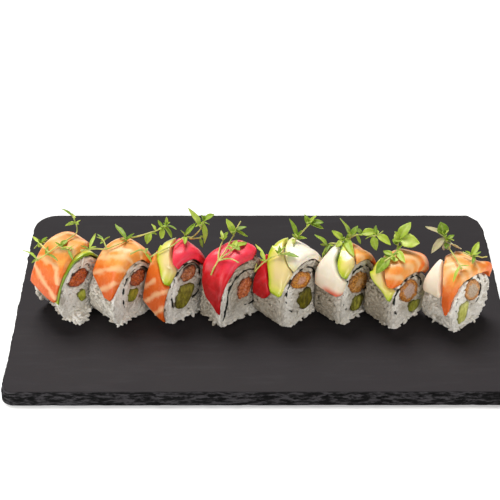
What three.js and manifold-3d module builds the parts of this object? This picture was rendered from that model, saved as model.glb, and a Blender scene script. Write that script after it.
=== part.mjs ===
// A row of eight cut sushi rolls on a dark slate plate.
// Each roll is rice round a nori sheet, a fried shrimp and avocado, with fish and avocado slices
// draped over the top and sprigs of cress laid along the row.
// Millimetres, Z up, the slate's underside on Z = 0 and its middle on the origin.
// The long side of the slate runs along X; the cut faces of the rolls look to the front and right.
import * as THREE from 'three';
import Module from 'manifold-3d';

const wasm = await Module();
wasm.setup();

// Slate plate
const SLATE_LENGTH = 300;
const SLATE_DEPTH = 181;
const SLATE_THICK = 9;
const SLATE_BACK_CORNER = 15;
const SLATE_FRONT_CORNER = 7;
const SLATE_CLIP = 11;
const SLATE_STEP = 17;
const SLATE_FLARE = 1.1;
const SLATE_CHIP = 0.45;

// Clearances
const REST = 0.3;
const GAP = 0.32;
const TRIM = 0.03;
const SPRIG_TRIM = 0.14;

// Roll skin
const ARC_STEP = 5;
const BELT = 0.42;
const RICE_EDGE = 0.5;
const RICE_BUMP = 0.75;
const SLICE_MIN = 1.5;
const SLICE_ROUND = 0.65;

// Filling
const NORI_THICK = 0.7;
const NORI_POINTS = 13;
const PROUD = 0.15;

// Sprigs
const STEM_RADIUS = 0.55;
const STEM_SIDES = 4;
const SPRIG_CLEAR = 1.15;
const LEAF_THICK = 0.5;

const COLOUR = {
  slate: '#3b393b',
  rice: '#d9d3c8',
  nori: '#20241c',
  shrimp: '#b0622a',
  avocado: '#a3a33a',
  salmon: '#f08a4a',
  tuna: '#d8203a',
  whitefish: '#f0dfcb',
  slice: '#d9dc6a',
  sprig: '#86a33a',
};

// Rolls, left to right.
// x, y: middle of the front cut face on the slate; turn: degrees of the cut face from X.
// width, height, length: size over the toppings; foot: how square the base is; crown: how square
// the top is; belt: height of the widest place as a share; lean: sideways shift per mm of height.
// cover: depth of the toppings at the crown; left, right: arc from the crown at which they end;
// fade: arc at which they thin on the left; proud: how far a slice stands out; tuck: how far the
// left foot is tucked in at the back.
// nori: middle, radii, first and last angle of the sheet on the front cut, its tilt, how square it
// is, and a tail laid before it.
const ROLLS = {
  roll_1: {
    x: -109.7, y: -19.6, turn: 43.6, width: 37.2, length: 26, height: 47, crown: 2.25, belt: 0.5,
    foot: 2.4, lean: 0.09,
    cover: 5.4, left: 39, right: 30, proud: 0, tuck: 8, seed: 11,
    nori: { x: -1, z: 22.4, rx: 12.6, rz: 13.2, from: 196, to: -58, square: 1, tilt: 0 },
    shrimp: { x: -2.8, z: 28.6, rx: 7.8, rz: 5.6, tilt: 8 },
    avocado: { x: 0, z: 14.6, w: 6.4, h: 8, tilt: 14 },
  },
  roll_2: {
    x: -77.7, y: -22.2, turn: 43.6, width: 36, length: 22.5, height: 47, crown: 2.35, foot: 3.2, lean: 0.1,
    cover: 7, left: 36, right: 31, proud: 0, tuck: 0, seed: 23,
    nori: { x: 1, z: 20.6, rx: 10.2, rz: 15.2, from: 222, to: -55, square: 0.9, tilt: 0 },
    shrimp: { x: 1.8, z: 28.2, rx: 6.4, rz: 5.6, tilt: -14 },
    avocado: { x: -1.6, z: 17.6, w: 9.4, h: 8.6, tilt: -16 },
  },
  roll_3: {
    x: -46.3, y: -23, turn: 39.5, width: 36, length: 20.1, height: 48, crown: 2.3, foot: 3, lean: 0.08,
    cover: 6.2, left: 50, fade: 44, right: 30, proud: 0.9, tuck: 0, seed: 37,
    nori: { x: -0.4, z: 23.2, rx: 10.6, rz: 16.8, from: 226, to: -50, square: 0.85, tilt: 0 },
    shrimp: { x: 0.8, z: 32.8, rx: 6, rz: 5.6, tilt: -8 },
    avocado: { x: -1.6, z: 17.6, w: 14.2, h: 17, tilt: -18 },
  },
  roll_4: {
    x: -12.2, y: -23.6, turn: 40, width: 36, length: 19.4, height: 47, crown: 2.6, foot: 5, lean: 0.08,
    cover: 5.8, left: 45, fade: 34, right: 20, proud: 0.3, tuck: 0, seed: 41,
    nori: {
      x: 1, z: 20.5, rx: 13, rz: 14.6, from: 192, to: -84, square: 1, tilt: 0,
      tail: [[-14.4, 5.4], [-12.9, 12]],
    },
    shrimp: { x: 1.2, z: 22.4, rx: 6, rz: 7.6, tilt: -14 },
    avocado: null,
  },
  roll_5: {
    x: 24, y: -25.1, turn: 41.7, width: 38.4, length: 23.7, height: 47.6, crown: 2.3, foot: 3.2, lean: 0.08,
    cover: 4.6, left: 39, fade: 28, right: 32, proud: 0.3, tuck: 0, seed: 53,
    nori: { x: -1.2, z: 23.2, rx: 12.2, rz: 15.6, from: 222, to: -20, square: 0.9, tilt: 12 },
    shrimp: { x: -2.3, z: 30.8, rx: 8.8, rz: 5.8, tilt: -26 },
    avocado: { x: 2.6, z: 15, w: 13, h: 14.4, tilt: 22 },
  },
  roll_6: {
    x: 58.7, y: -20.8, turn: 45, width: 36, length: 19.8, height: 44.5, crown: 2.4, foot: 4.2, lean: 0.03,
    cover: 4, left: 35, right: 30, proud: 1, tuck: 0, seed: 67,
    nori: { x: -1.2, z: 22, rx: 12.6, rz: 14.8, from: 226, to: -24, square: 0.9, tilt: 0 },
    shrimp: { x: -0.3, z: 26, rx: 10, rz: 7.4, tilt: -40 },
    avocado: { x: -0.4, z: 10.6, w: 12.6, h: 11, tilt: -20 },
  },
  roll_7: {
    x: 88.6, y: -26.1, turn: 43, width: 36, length: 20, height: 43.5, crown: 2.75, foot: 3.4, lean: 0.03,
    cover: 8.8, left: 31, fade: 28, right: 30, proud: 0.9, tuck: 0, seed: 71,
    nori: { x: -0.6, z: 20, rx: 12.4, rz: 12.9, from: 216, to: -24, square: 0.9, tilt: 8 },
    shrimp: { x: 0.1, z: 23.2, rx: 9.9, rz: 7.4, tilt: -46 },
    avocado: { x: 6.2, z: 9, w: 12, h: 8, tilt: -8 },
  },
  roll_8: {
    x: 125.3, y: -29.2, turn: 42, width: 36, length: 22.7, height: 41.5, crown: 2.6, foot: 3, lean: 0.04,
    cover: 5.6, left: 36, right: 24, proud: 1.6, tuck: 0, seed: 89,
    nori: { x: -1.2, z: 21.2, rx: 11.2, rz: 13.8, from: 206, to: -60, square: 1, tilt: 0 },
    shrimp: { x: 1.3, z: 25.3, rx: 10, rz: 6.2, tilt: -52 },
    avocado: { x: -5.2, z: 11.6, w: 10.2, h: 15.6, tilt: -2 },
  },
};

// Slices over the rolls.
// rows: arc from the crown, nearest and furthest depth from the front cut; over: slice beneath;
// proud: extra thickness; flares: arc, depth, reach and height of each lifted corner.
const SLICES = {
  avocado_1: {
    roll: 'roll_1', kind: 'slice', thick: 1.2,
    rows: [
      [-40.4, 0, 3.4], [-39.2, 0, 8], [-38, 0, 12.4], [-36, 0, 23], [-35, 0, 26], [20, 0, 26], [28, 2, 20],
    ],
  },
  salmon_1: {
    roll: 'roll_1', kind: 'salmon', over: 1.2,
    rows: [
      [-39.4, 2.4, 6.5], [-38.2, 0.9, 11], [-36, 0.6, 22.6], [-35, 0.6, 26], [-30, 0.6, 26], [-22, 0.9, 26],
      [-12, 1.8, 26], [0, 3.8, 26], [8, 6, 26], [16, 9.5, 24],
    ],
  },
  salmon_2: {
    roll: 'roll_2', kind: 'salmon',
    rows: [[-37, 2.6, 7], [-34, 1, 11], [-29, 0, 17.5], [-25, 0, 22.5], [20, 0, 22.5], [29, 3, 17]],
  },
  salmon_3: {
    roll: 'roll_3', kind: 'salmon',
    rows: [
      [-53.4, 0.5, 3.5], [-49, 0, 10.5], [-45, 0, 20.1], [-27, 0, 20.1], [-26.2, 2.2, 20.1],
      [-23, 5, 20.1], [-18.5, 9.9, 20.1], [-13.6, 15.9, 20.1], [-10, 19.4, 20.1],
    ],
  },
  avocado_3: {
    roll: 'roll_3', kind: 'slice', proud: 0.9,
    rows: [
      [-25.8, 0.2, 1.4], [-23, 0, 4.2], [-18.5, 0, 9], [-15.5, 0.3, 12.8], [-13.6, 1.6, 15],
      [-9, 6.8, 18.4],
      [-2.9, 12.4, 20.1], [2.5, 16.2, 20.1], [5.4, 18.4, 20.1],
    ],
  },
  tuna_3: {
    roll: 'roll_3', kind: 'tuna',
    rows: [
      [-12.4, 0, 1.9], [-9, 0, 5.9], [-2.9, 0, 11.5], [2.5, 0, 15.2], [6, 0, 18], [8, 0, 20.1],
      [23, 0, 20.1], [29, 3, 17],
    ],
  },
  tuna_4: {
    roll: 'roll_4', kind: 'tuna', flares: [[11, 8, 9, 1.2], [-17, 19, 13, 3.2]],
    rows: [
      [-45.4, 0, 1.4], [-43, 0, 4.7], [-38.9, 0, 12.3], [-34.1, 0, 16.7], [-30, 0, 19.4], [4, 0, 19.4],
      [9, 0.6, 19.4],
      [14, 3.4, 19.4], [20, 7, 17],
    ],
  },
  tuna_5: {
    roll: 'roll_5', kind: 'tuna',
    rows: [
      [-40.4, 16, 20], [-39, 13, 23.7], [-35.7, 10.4, 23.7], [-33, 9.4, 23.7], [-28.9, 11.7, 23.7],
      [-23, 15.4, 23.7],
      [-16.7, 20, 23.7], [-13.4, 22.4, 23.7],
    ],
  },
  avocado_5: {
    roll: 'roll_5', kind: 'slice', proud: 0.3,
    rows: [
      [-32.6, 2.6, 7], [-31.4, 0.8, 9], [-29, 0, 10.9], [-23, 0, 14.6], [-16.7, 0, 19.2], [-15.2, 0.4, 20],
      [-12, 5.4, 21.6], [-8, 11.6, 22.6], [-2, 17.6, 23.7], [7, 22, 23.7],
    ],
  },
  whitefish_5: {
    roll: 'roll_5', kind: 'whitefish',
    rows: [
      [-13.4, 0, 1.6], [-12, 0, 4.6], [-8, 0, 10.8], [-2, 0, 16.8], [7, 0, 21.2], [11, 0, 23],
      [24, 0, 23.7],
      [30, 3, 20],
    ],
  },
  whitefish_6: {
    roll: 'roll_6', kind: 'whitefish', proud: 2.2, flares: [[-20, 18, 10.5, 2.6]],
    rows: [
      [-31, 3, 7.5], [-30.2, 1, 14.5], [-29.2, -0.6, 18.4], [-27.4, -1.2, 19.8], [-20.4, -1.2, 19.8],
      [-18.8, 2.6, 19.8],
      [-16.1, 6.4, 19.8], [-12.4, 9.8, 19.8], [-5, 13.7, 19.8], [-1.5, 16.5, 19.8],
    ],
  },
  avocado_6: {
    roll: 'roll_6', kind: 'slice', proud: 0.9,
    rows: [
      [-18.4, 0.2, 1.6], [-16.1, 0, 5.6], [-12.4, 0, 9], [-7.5, 0.2, 11.4], [-5, 1.2, 12.8],
      [-3.3, 2.6, 14],
      [0.1, 6.2, 16.8], [4, 10.6, 19.8], [9, 15, 19.8],
    ],
  },
  salmon_6: {
    roll: 'roll_6', kind: 'salmon',
    rows: [
      [-4, 0, 1.2], [-3.3, 0, 1.8], [0.1, 0, 5.4], [4, 0, 9.8], [9, 0, 14.2], [12, 0, 19.8], [23, 0, 19.8],
      [28, 3, 16],
    ],
  },
  avocado_7: {
    roll: 'roll_7', kind: 'slice', proud: 1.5,
    rows: [
      [-30.2, 0, 1], [-27.5, 0, 3.6], [-24.6, 0, 8.8], [-23.5, 0, 12], [-22.9, 5.2, 13.4],
      [-21.6, 6.2, 16.2],
      [-18.9, 8.4, 19], [-15.5, 10.9, 20], [-8.7, 17, 20], [-6, 19, 20],
    ],
  },
  salmon_7: {
    roll: 'roll_7', kind: 'salmon', proud: 0.4, flares: [[22, 7, 13, 4.5]],
    rows: [
      [-22.5, 2, 4], [-21.8, 1.4, 5.1], [-18.9, 0.2, 7.5], [-15.5, 0, 10], [-8.7, 0, 16], [-6, 0, 18.2],
      [-3.5, 0, 20],
      [22, 0, 20], [27, 2, 17],
    ],
  },
  whitefish_8: {
    roll: 'roll_8', kind: 'whitefish', proud: 1, flares: [[-22, 22.7, 12, 2.4]],
    rows: [
      [-29.4, 11, 19], [-28.4, 9.4, 22], [-27, 9.2, 22.7], [-23.6, 10.3, 22.7], [-14.3, 14.6, 22.7],
      [-8, 18.2, 22.7], [-6, 19.6, 22.7],
    ],
  },
  salmon_8: {
    roll: 'roll_8', kind: 'salmon', flares: [[18, 1, 9, 4.6]],
    rows: [
      [-38, 2.8, 3.9], [-36.5, 2.2, 5], [-32, 1.6, 7.6], [-23.6, 1.5, 9.9], [-14.3, 1.2, 14.2],
      [-8, 0.6, 17.8],
      [-4, 0, 20], [0, 0, 22.7], [14, 0, 19], [20, 0.2, 10], [24.4, 0.8, 7],
    ],
  },
};

// Sprigs of cress.
// stems: arc, depth and lift from the skin of the roll they lie on.
// leaves: stem, place along it, heading, rise, length, width.
const SPRIGS = {
  sprig_1: { roll: 'roll_1',
    stems: [
      [
        [-21.7, 23.6, 1], [-13, 16.3, 1], [-2.3, 13.7, 1], [7.4, 15.8, 3.1], [7.4, 19, 7.6],
        [6.4, 21.4, 11.2],
      ],
      [[-13, 16.3, 1], [-11.5, 29, -2.5]],
      [[-6.9, 13.5, 1], [-6.4, 8.3, 1], [-5.9, 4.8, 1]],
    ],
    leaves: [
      [0, 0.05, 128, -4, 17, 2],
      [1, 1, 131, 6, 9.4, 1.7],
      [1, 1, 24, 44, 5.7, 2.3],
      [1, 1, 164, -39, 6.5, 2.3],
      [0, 0.21, -44, 10, 11.9, 2.7],
      [2, 0.18, 49, 17, 6.6, 3.3],
      [2, 0.37, -24, 11, 8, 2],
      [2, 0.91, -67, -6, 9.3, 1.7],
      [0, 0.9, -174, -10, 6.6, 2.7],
      [0, 0.88, 45, 24, 3.6, 2],
      [0, 1, 157, 29, 8.2, 2],
      [0, 0.96, -150, 77, 4.6, 3.3],
    ] },
  sprig_2: { roll: 'roll_2',
    stems: [
      [[-15.3, 22.2, 13.9], [-12.3, 19.2, 7.1], [-8.8, 16.2, 1], [-1, 12.6, 1], [7.5, 14.7, 1]],
      [[7.5, 14.7, 1], [9.5, 8.9, 6], [11.8, 4.5, 11.9], [12.6, 0.6, 18]],
      [[-9, 16.7, 1], [-5, 25.9, -2.3]],
    ],
    leaves: [
      [0, 0.15, 77, 13, 13.6, 2],
      [2, 1, 126, 16, 7.1, 1.7],
      [2, 1, 15, 38, 4.9, 2],
      [2, 0.52, 124, -5, 8.3, 1.7],
      [0, 0.85, 121, 16, 14.7, 3.3],
      [1, 0.55, -117, -45, 7.3, 4.7],
      [1, 0.69, 129, 37, 5, 2],
      [1, 0.88, 139, 48, 5.5, 2],
      [1, 1, 94, 68, 5.7, 2],
      [1, 1, -29, 2, 6.8, 2.3],
      [1, 0.93, -47, -29, 8.4, 4],
      [1, 0.88, -94, -40, 7.5, 3.3],
    ] },
  sprig_3: { roll: 'roll_3',
    stems: [
      [
        [-21.8, 21.6, 9.6], [-18.6, 19.9, 4.7], [-12.5, 15.5, 1], [-3.8, 10.1, 1], [12.5, 16, 1],
        [10.4, 9.4, 11.1], [9.9, 9.2, 16.1],
      ],
      [[12.5, 16, 1], [11.4, 6.8, 6.3]],
    ],
    leaves: [
      [0, 0.17, -37, -45, 7.1, 1.7],
      [0, 0.69, 39, 42, 10.4, 3.3],
      [0, 0.69, -89, 20, 14.1, 2.7],
      [0, 0.93, 144, 51, 14.4, 4.3],
      [0, 1, 15, 32, 7.4, 5.3],
      [0, 0.98, -80, -55, 12.3, 3.7],
      [1, 0.96, -68, -50, 6.1, 2],
      [1, 0.88, -33, 45, 3.7, 2],
    ] },
  sprig_4: { roll: 'roll_4',
    stems: [
      [[-22.3, 10, 1], [-13.3, 9.5, 1], [-7.3, 10.2, 1], [3, 16.7, 1.4], [6.5, 16.7, 12.3]],
      [[-13.3, 9.5, 1], [-7.5, 14.7, 1], [-0.5, 19.8, 1.2]],
      [[-13.3, 9.5, 1], [-7.3, 7.5, 1], [-0.8, 8.2, 1]],
      [[-13.3, 9.5, 1], [-9, 3.7, 1], [-7.8, -3, 1]],
    ],
    leaves: [
      [1, 0.89, 102, 29, 7, 2],
      [1, 1, 52, 37, 4.9, 2.3],
      [0, 0.77, 120, 40, 10.9, 4.7],
      [0, 0.83, 17, 18, 7.2, 3.3],
      [0, 0.84, -12, -22, 8.2, 2],
      [2, 0.77, 74, 5, 9.9, 3.3],
      [2, 0.98, -54, 8, 4.4, 2.7],
      [2, 1, 50, -10, 10.5, 4],
    ] },
  sprig_5: { roll: 'roll_5',
    stems: [
      [[-27.4, 24.2, 1], [-21, 21, 1], [-14, 16.6, 1], [-9, 11.6, 1]],
      [[-9, 11.6, 1], [-5.5, 8.3, 1]],
    ],
    leaves: [
      [0, 0.96, -27, 13, 12.4, 3.7],
      [0, 0.93, 47, 30, 6.9, 2.7],
      [0, 0.58, 112, 13, 15.2, 2.7],
    ] },
  sprig_6: { roll: 'roll_5',
    stems: [
      [[0.5, 12.3, 1], [6.3, 15.8, 2.4], [7.3, 14.5, 6.4], [8.8, 12.7, 13.5]],
    ],
    leaves: [
      [0, 0.38, 120, 47, 12.2, 3],
      [0, 0.33, 8, 0, 6.5, 2.3],
      [0, 0.27, -142, -19, 3, 2.7],
      [0, 0.91, 117, 46, 7, 3],
      [0, 0.95, 34, 44, 6.9, 3.3],
      [0, 1, -3, 8, 7.8, 4],
      [0, 0.98, -16, -12, 8.5, 3.3],
    ] },
  sprig_7: { roll: 'roll_6',
    stems: [
      [
        [-4.7, 23.6, -1.4], [-2.1, 17.5, 1], [6.9, 17.7, 1], [6.4, 14, 5.4], [6.9, 8.8, 8.9],
        [9, 1.9, 10.6], [10.6, 0.1, 15.2],
      ],
    ],
    leaves: [
      [0, 0, 142, 29, 10.4, 4],
      [0, 0, -105, -26, 9.1, 2],
      [0, 0.02, -73, -45, 7.6, 3],
      [0, 0.46, 137, 57, 13.5, 5.3],
      [0, 0.32, 156, 34, 8.8, 4],
      [0, 0.51, 51, 44, 7.7, 4],
      [0, 0.39, -81, 4, 18.9, 4.7],
      [0, 0.27, -117, 6, 7.4, 3.3],
      [0, 0.6, -48, -49, 6.1, 2],
      [0, 0.68, 12, 5, 9.9, 5.3],
      [0, 0.88, 90, 50, 6.3, 2.7],
      [0, 0.84, -73, -42, 8.9, 4.7],
      [0, 0.9, -30, -21, 10.1, 5.3],
    ] },
  sprig_8: { roll: 'roll_7',
    stems: [
      [[-9.8, 12.5, 1], [-2.6, 11.4, 1], [4.4, 15.9, 2.6], [6.8, 17.9, 6.4]],
    ],
    leaves: [
      [0, 0.29, 143, 5, 7.3, 3.3],
      [0, 0.55, -73, -1, 12.3, 4],
      [0, 0.17, -145, -35, 12.4, 6.7],
      [0, 0.96, 47, 36, 12.7, 6.7],
      [0, 0.91, -17, 5, 12.6, 9.3],
      [0, 0.76, 135, 35, 5.2, 2.7],
    ] },
  sprig_9: { roll: 'roll_8',
    stems: [
      [[-7, 3.7, 1], [-1.2, 16, 1], [2.1, 23.4, 4.2], [2.5, 27.7, 8.3]],
    ],
    leaves: [
      [0, 0.98, 155, 20, 12.9, 4],
      [0, 1, 113, 54, 8.6, 7.3],
      [0, 0.9, 17, 29, 5.9, 2.7],
      [0, 0.83, -2, -29, 10, 6],
      [0, 0.88, -85, -53, 7.2, 5.3],
      [0, 0.96, -140, -29, 12.7, 4.7],
      [0, 0.1, -119, -28, 11.3, 2],
    ] },
  sprig_10: { roll: 'roll_8',
    stems: [
      [[4.6, 13.9, 1], [6.3, 7.6, 1], [12.5, 6.7, 2.4], [14.6, 4.6, 5.2]],
    ],
    leaves: [
      [0, 0.32, 59, 20, 11.5, 3.7],
      [0, 0.41, -105, 9, 9.8, 2.3],
    ] },
};

const seeded = (seed) => () => {
  seed = (seed + 0x6d2b79f5) | 0;
  let t = Math.imul(seed ^ (seed >>> 15), 1 | seed);
  t = (t + Math.imul(t ^ (t >>> 7), 61 | t)) ^ t;
  return ((t ^ (t >>> 14)) >>> 0) / 4294967296;
};
const rad = (deg) => (deg * Math.PI) / 180;
const lerp = (a, b, t) => a + (b - a) * t;
const clamp = (v, lo, hi) => Math.min(hi, Math.max(lo, v));
const smooth = (t) => {
  const u = clamp(t, 0, 1);
  return u * u * (3 - 2 * u);
};
const between = (rows, at, column) => {
  if (at <= rows[0][0]) return rows[0][column];
  for (let i = 1; i < rows.length; i += 1) {
    if (at <= rows[i][0]) {
      const [before, after] = [rows[i - 1], rows[i]];
      return lerp(before[column], after[column], (at - before[0]) / (after[0] - before[0]));
    }
  }
  return rows[rows.length - 1][column];
};

// Closed bodies from shared corners
function body(points, faces) {
  const geometry = new THREE.BufferGeometry();
  const flat = points.flatMap((p) => [p.x, p.y, p.z]);
  geometry.setAttribute('position', new THREE.Float32BufferAttribute(flat, 3));
  geometry.setIndex(faces.flat());
  return geometry;
}

// Rings of equal count joined in turn, the first and last ring closed by fans.
function loft(rings) {
  const n = rings[0].length;
  const points = rings.flat();
  const faces = [];
  for (let r = 0; r + 1 < rings.length; r += 1) {
    for (let i = 0; i < n; i += 1) {
      const a = r * n + i;
      const b = r * n + ((i + 1) % n);
      faces.push([a, b, b + n], [a, b + n, a + n]);
    }
  }
  for (const end of [0, rings.length - 1]) {
    const ring = rings[end];
    const middle = ring.reduce((s, p) => s.add(p), new THREE.Vector3()).divideScalar(n);
    const c = points.length;
    points.push(middle);
    for (let i = 0; i < n; i += 1) {
      const a = end * n + i;
      const b = end * n + ((i + 1) % n);
      faces.push(end === 0 ? [c, b, a] : [c, a, b]);
    }
  }
  return body(points, faces);
}

// Rings joined as a bar whose ends are flat outlines with a dent, closed by ear clipping.
function bar(rings, flatOf) {
  const ends = Array.isArray(flatOf[0]) ? flatOf : [flatOf, flatOf];
  const n = rings[0].length;
  const points = rings.flat();
  const faces = [];
  for (let r = 0; r + 1 < rings.length; r += 1) {
    for (let i = 0; i < n; i += 1) {
      const a = r * n + i;
      const b = r * n + ((i + 1) % n);
      faces.push([a, b, b + n], [a, b + n, a + n]);
    }
  }
  const last = (rings.length - 1) * n;
  ends.forEach((flat, end) => {
    const way = Math.sign(THREE.ShapeUtils.area(flat));
    for (const lid of THREE.ShapeUtils.triangulateShape(flat, [])) {
      const turned = Math.sign(THREE.ShapeUtils.area(lid.map((i) => flat[i]))) === way;
      const [a, b, c] = turned ? lid : [lid[0], lid[2], lid[1]];
      faces.push(end === 0 ? [a, c, b] : [a + last, b + last, c + last]);
    }
  });
  return body(points, faces);
}

// Slab between an upper and a lower grid of the same size.
function slab(upper, lower) {
  const rows = upper.length;
  const cols = upper[0].length;
  const points = [...upper.flat(), ...lower.flat()];
  const low = rows * cols;
  const faces = [];
  for (let r = 0; r + 1 < rows; r += 1) {
    for (let c = 0; c + 1 < cols; c += 1) {
      const a = r * cols + c;
      faces.push([a, a + 1, a + cols + 1], [a, a + cols + 1, a + cols]);
      faces.push([low + a, low + a + cols + 1, low + a + 1], [low + a, low + a + cols, low + a + cols + 1]);
    }
  }
  const rim = [];
  for (let c = 0; c < cols; c += 1) rim.push(c);
  for (let r = 1; r < rows; r += 1) rim.push(r * cols + cols - 1);
  for (let c = cols - 2; c >= 0; c -= 1) rim.push((rows - 1) * cols + c);
  for (let r = rows - 2; r > 0; r -= 1) rim.push(r * cols);
  for (let i = 0; i < rim.length; i += 1) {
    const a = rim[i];
    const b = rim[(i + 1) % rim.length];
    faces.push([b, a, low + a], [b, low + a, low + b]);
  }
  return body(points, faces);
}

const signedVolume = (geometry) => {
  const p = geometry.attributes.position;
  const index = geometry.index.array;
  let total = 0;
  for (let i = 0; i < index.length; i += 3) {
    const a = new THREE.Vector3().fromBufferAttribute(p, index[i]);
    const b = new THREE.Vector3().fromBufferAttribute(p, index[i + 1]);
    const c = new THREE.Vector3().fromBufferAttribute(p, index[i + 2]);
    total += a.dot(b.cross(c));
  }
  return total / 6;
};

function facesOut(geometry) {
  if (signedVolume(geometry) < 0) {
    const index = Array.from(geometry.index.array);
    for (let i = 0; i < index.length; i += 3) {
      [index[i + 1], index[i + 2]] = [index[i + 2], index[i + 1]];
    }
    geometry.setIndex(index);
  }
  return geometry;
}

const toSolid = (geometry) => {
  const out = facesOut(geometry);
  return new wasm.Manifold(new wasm.Mesh({
    numProp: 3,
    vertProperties: new Float32Array(out.attributes.position.array),
    triVerts: new Uint32Array(out.index.array),
  }));
};

const fromSolid = (solid) => {
  const mesh = solid.getMesh();
  const geometry = new THREE.BufferGeometry();
  geometry.setAttribute('position', new THREE.Float32BufferAttribute(Array.from(mesh.vertProperties), 3));
  geometry.setIndex(Array.from(mesh.triVerts));
  return geometry;
};

const whole = (solid) => solid.decompose().sort((a, b) => b.volume() - a.volume())[0];
const largest = (solid, trim) => whole(whole(solid).asOriginal().simplify(trim));

// Roll skin as a table of arc, sideways and upward places and the outward direction
function skinTable(roll) {
  const half = roll.width / 2;
  const belt = (roll.belt ?? BELT) * roll.height;
  const side = [];
  const steps = 240;
  for (let i = 0; i <= steps; i += 1) {
    const t = (Math.PI / 2) * (1 - i / steps);
    const z = belt + (roll.height - belt) * Math.sin(t) ** (2 / roll.crown);
    side.push([half * Math.cos(t) ** (2 / roll.crown), z]);
  }
  for (let i = 1; i <= steps; i += 1) {
    const t = (Math.PI / 2) * (i / steps);
    const z = belt - (belt + 1) * Math.sin(t) ** (2 / roll.foot);
    if (z <= 0) break;
    side.push([half * Math.cos(t) ** (2 / roll.foot), z]);
  }
  const rows = [[0, 0, roll.height]];
  for (let i = 1; i < side.length; i += 1) {
    const step = Math.hypot(side[i][0] - side[i - 1][0], side[i][1] - side[i - 1][1]);
    rows.push([rows[i - 1][0] + step, side[i][0], side[i][1]]);
  }
  return rows;
}

const TABLES = {};
for (const [name, roll] of Object.entries(ROLLS)) TABLES[name] = skinTable(roll);

function plain(name, arc) {
  const rows = TABLES[name];
  const far = rows[rows.length - 1][0];
  const a = Math.min(Math.abs(arc), far);
  const x = between(rows, a, 1) * Math.sign(arc);
  const z = between(rows, a, 2);
  return [x + ROLLS[name].lean * z, z];
}

function skin(name, arc) {
  const [x, z] = plain(name, arc);
  const [xa, za] = plain(name, arc - 0.6);
  const [xb, zb] = plain(name, arc + 0.6);
  const span = Math.hypot(xb - xa, zb - za);
  return { x, z, nx: -(zb - za) / span, nz: (xb - xa) / span };
}

// From a roll's own sideways, depth and height to the shared frame
function place(name, x, depth, z) {
  const roll = ROLLS[name];
  const c = Math.cos(rad(roll.turn));
  const s = Math.sin(rad(roll.turn));
  return new THREE.Vector3(roll.x + x * c - depth * s, roll.y + x * s + depth * c, SLATE_THICK + REST + z);
}

// Depth of the toppings over the rice at an arc
function coverAt(name, arc) {
  const roll = ROLLS[name];
  const tip = arc < 0 ? roll.fade ?? roll.left : roll.right;
  const start = Math.min(14, tip - 8);
  return Math.max(RICE_EDGE, roll.cover * (1 - 0.86 * smooth((Math.abs(arc) - start) / (tip - start + 4))));
}

// Rice outline points at one depth, with bumps the size of grains
function riceRing(name, share, draw) {
  const roll = ROLLS[name];
  const far = TABLES[name][TABLES[name].length - 1][0];
  const depth = share * roll.length;
  const edge = share === 0 || share === 1 ? 0.35 : 0;
  const ring = [];
  const count = Math.floor(far / ARC_STEP);
  for (let i = -count; i <= count; i += 1) {
    const arc = i * ARC_STEP;
    const s = skin(name, arc);
    const covered = arc > -roll.left && arc < roll.right;
    const bump = covered ? 0.3 * draw() : RICE_BUMP * (draw() * 1.5 - 0.2);
    const tuck = roll.tuck * smooth((-arc - 34) / 10) * smooth(share * 1.2);
    const inset = coverAt(name, arc) + bump + edge + tuck;
    ring.push([s.x - s.nx * inset, Math.max(s.z - s.nz * inset, 0)]);
  }
  const right = plain(name, far)[0];
  const left = plain(name, -far)[0] + roll.tuck * smooth(share * 1.2);
  for (const t of [0.12, 0.37, 0.63, 0.88]) {
    ring.push([lerp(right, left, t) * 0.9, RICE_BUMP * 0.7 * draw()]);
  }
  return ring;
}

function riceBody(name) {
  const roll = ROLLS[name];
  const draw = seeded(roll.seed);
  const shares = [0, 0.24, 0.5, 0.76, 1];
  const flats = shares.map((share) => riceRing(name, share, draw));
  const rings = flats.map((flat, i) => flat.map(([x, z]) => place(name, x, shares[i] * roll.length, z)));
  const end = (flat) => flat.map(([x, z]) => new THREE.Vector2(x, z));
  return bar(rings, [end(flats[0]), end(flats[flats.length - 1])]);
}

// The nori sheet seen on the cut: an open loop whose last stretch curls inward
function noriPath(name) {
  const nori = ROLLS[name].nori;
  const path = [...(nori.tail ?? [])];
  const bent = (v) => Math.sign(v) * Math.abs(v) ** nori.square;
  const c = Math.cos(rad(nori.tilt));
  const s = Math.sin(rad(nori.tilt));
  for (let i = 0; i < NORI_POINTS; i += 1) {
    const t = i / (NORI_POINTS - 1);
    const angle = rad(lerp(nori.from, nori.to, t));
    const curl = 1 - 0.3 * smooth((t - 0.84) / 0.2);
    const u = nori.rx * curl * bent(Math.cos(angle));
    const v = nori.rz * curl * bent(Math.sin(angle));
    path.push([nori.x + u * c - v * s, nori.z + u * s + v * c]);
  }
  return path;
}

function noriBody(name, grow, reach) {
  const roll = ROLLS[name];
  const path = noriPath(name);
  const half = NORI_THICK / 2 + grow;
  const outer = [];
  const inner = [];
  path.forEach(([x, z], i) => {
    const [xa, za] = path[Math.max(i - 1, 0)];
    const [xb, zb] = path[Math.min(i + 1, path.length - 1)];
    const span = Math.hypot(xb - xa, zb - za);
    const run = i === 0 ? -grow : i === path.length - 1 ? grow : 0;
    const ex = x + ((xb - xa) / span) * run;
    const ez = z + ((zb - za) / span) * run;
    outer.push([ex - ((zb - za) / span) * half, ez + ((xb - xa) / span) * half]);
    inner.push([ex + ((zb - za) / span) * half, ez - ((xb - xa) / span) * half]);
  });
  const flat = [...outer, ...inner.reverse()];
  const ring = (depth) => flat.map(([x, z]) => place(name, x + roll.lean * z, depth, z));
  return bar([ring(-reach), ring(roll.length + reach)], flat.map(([x, z]) => new THREE.Vector2(x, z)));
}

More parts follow.
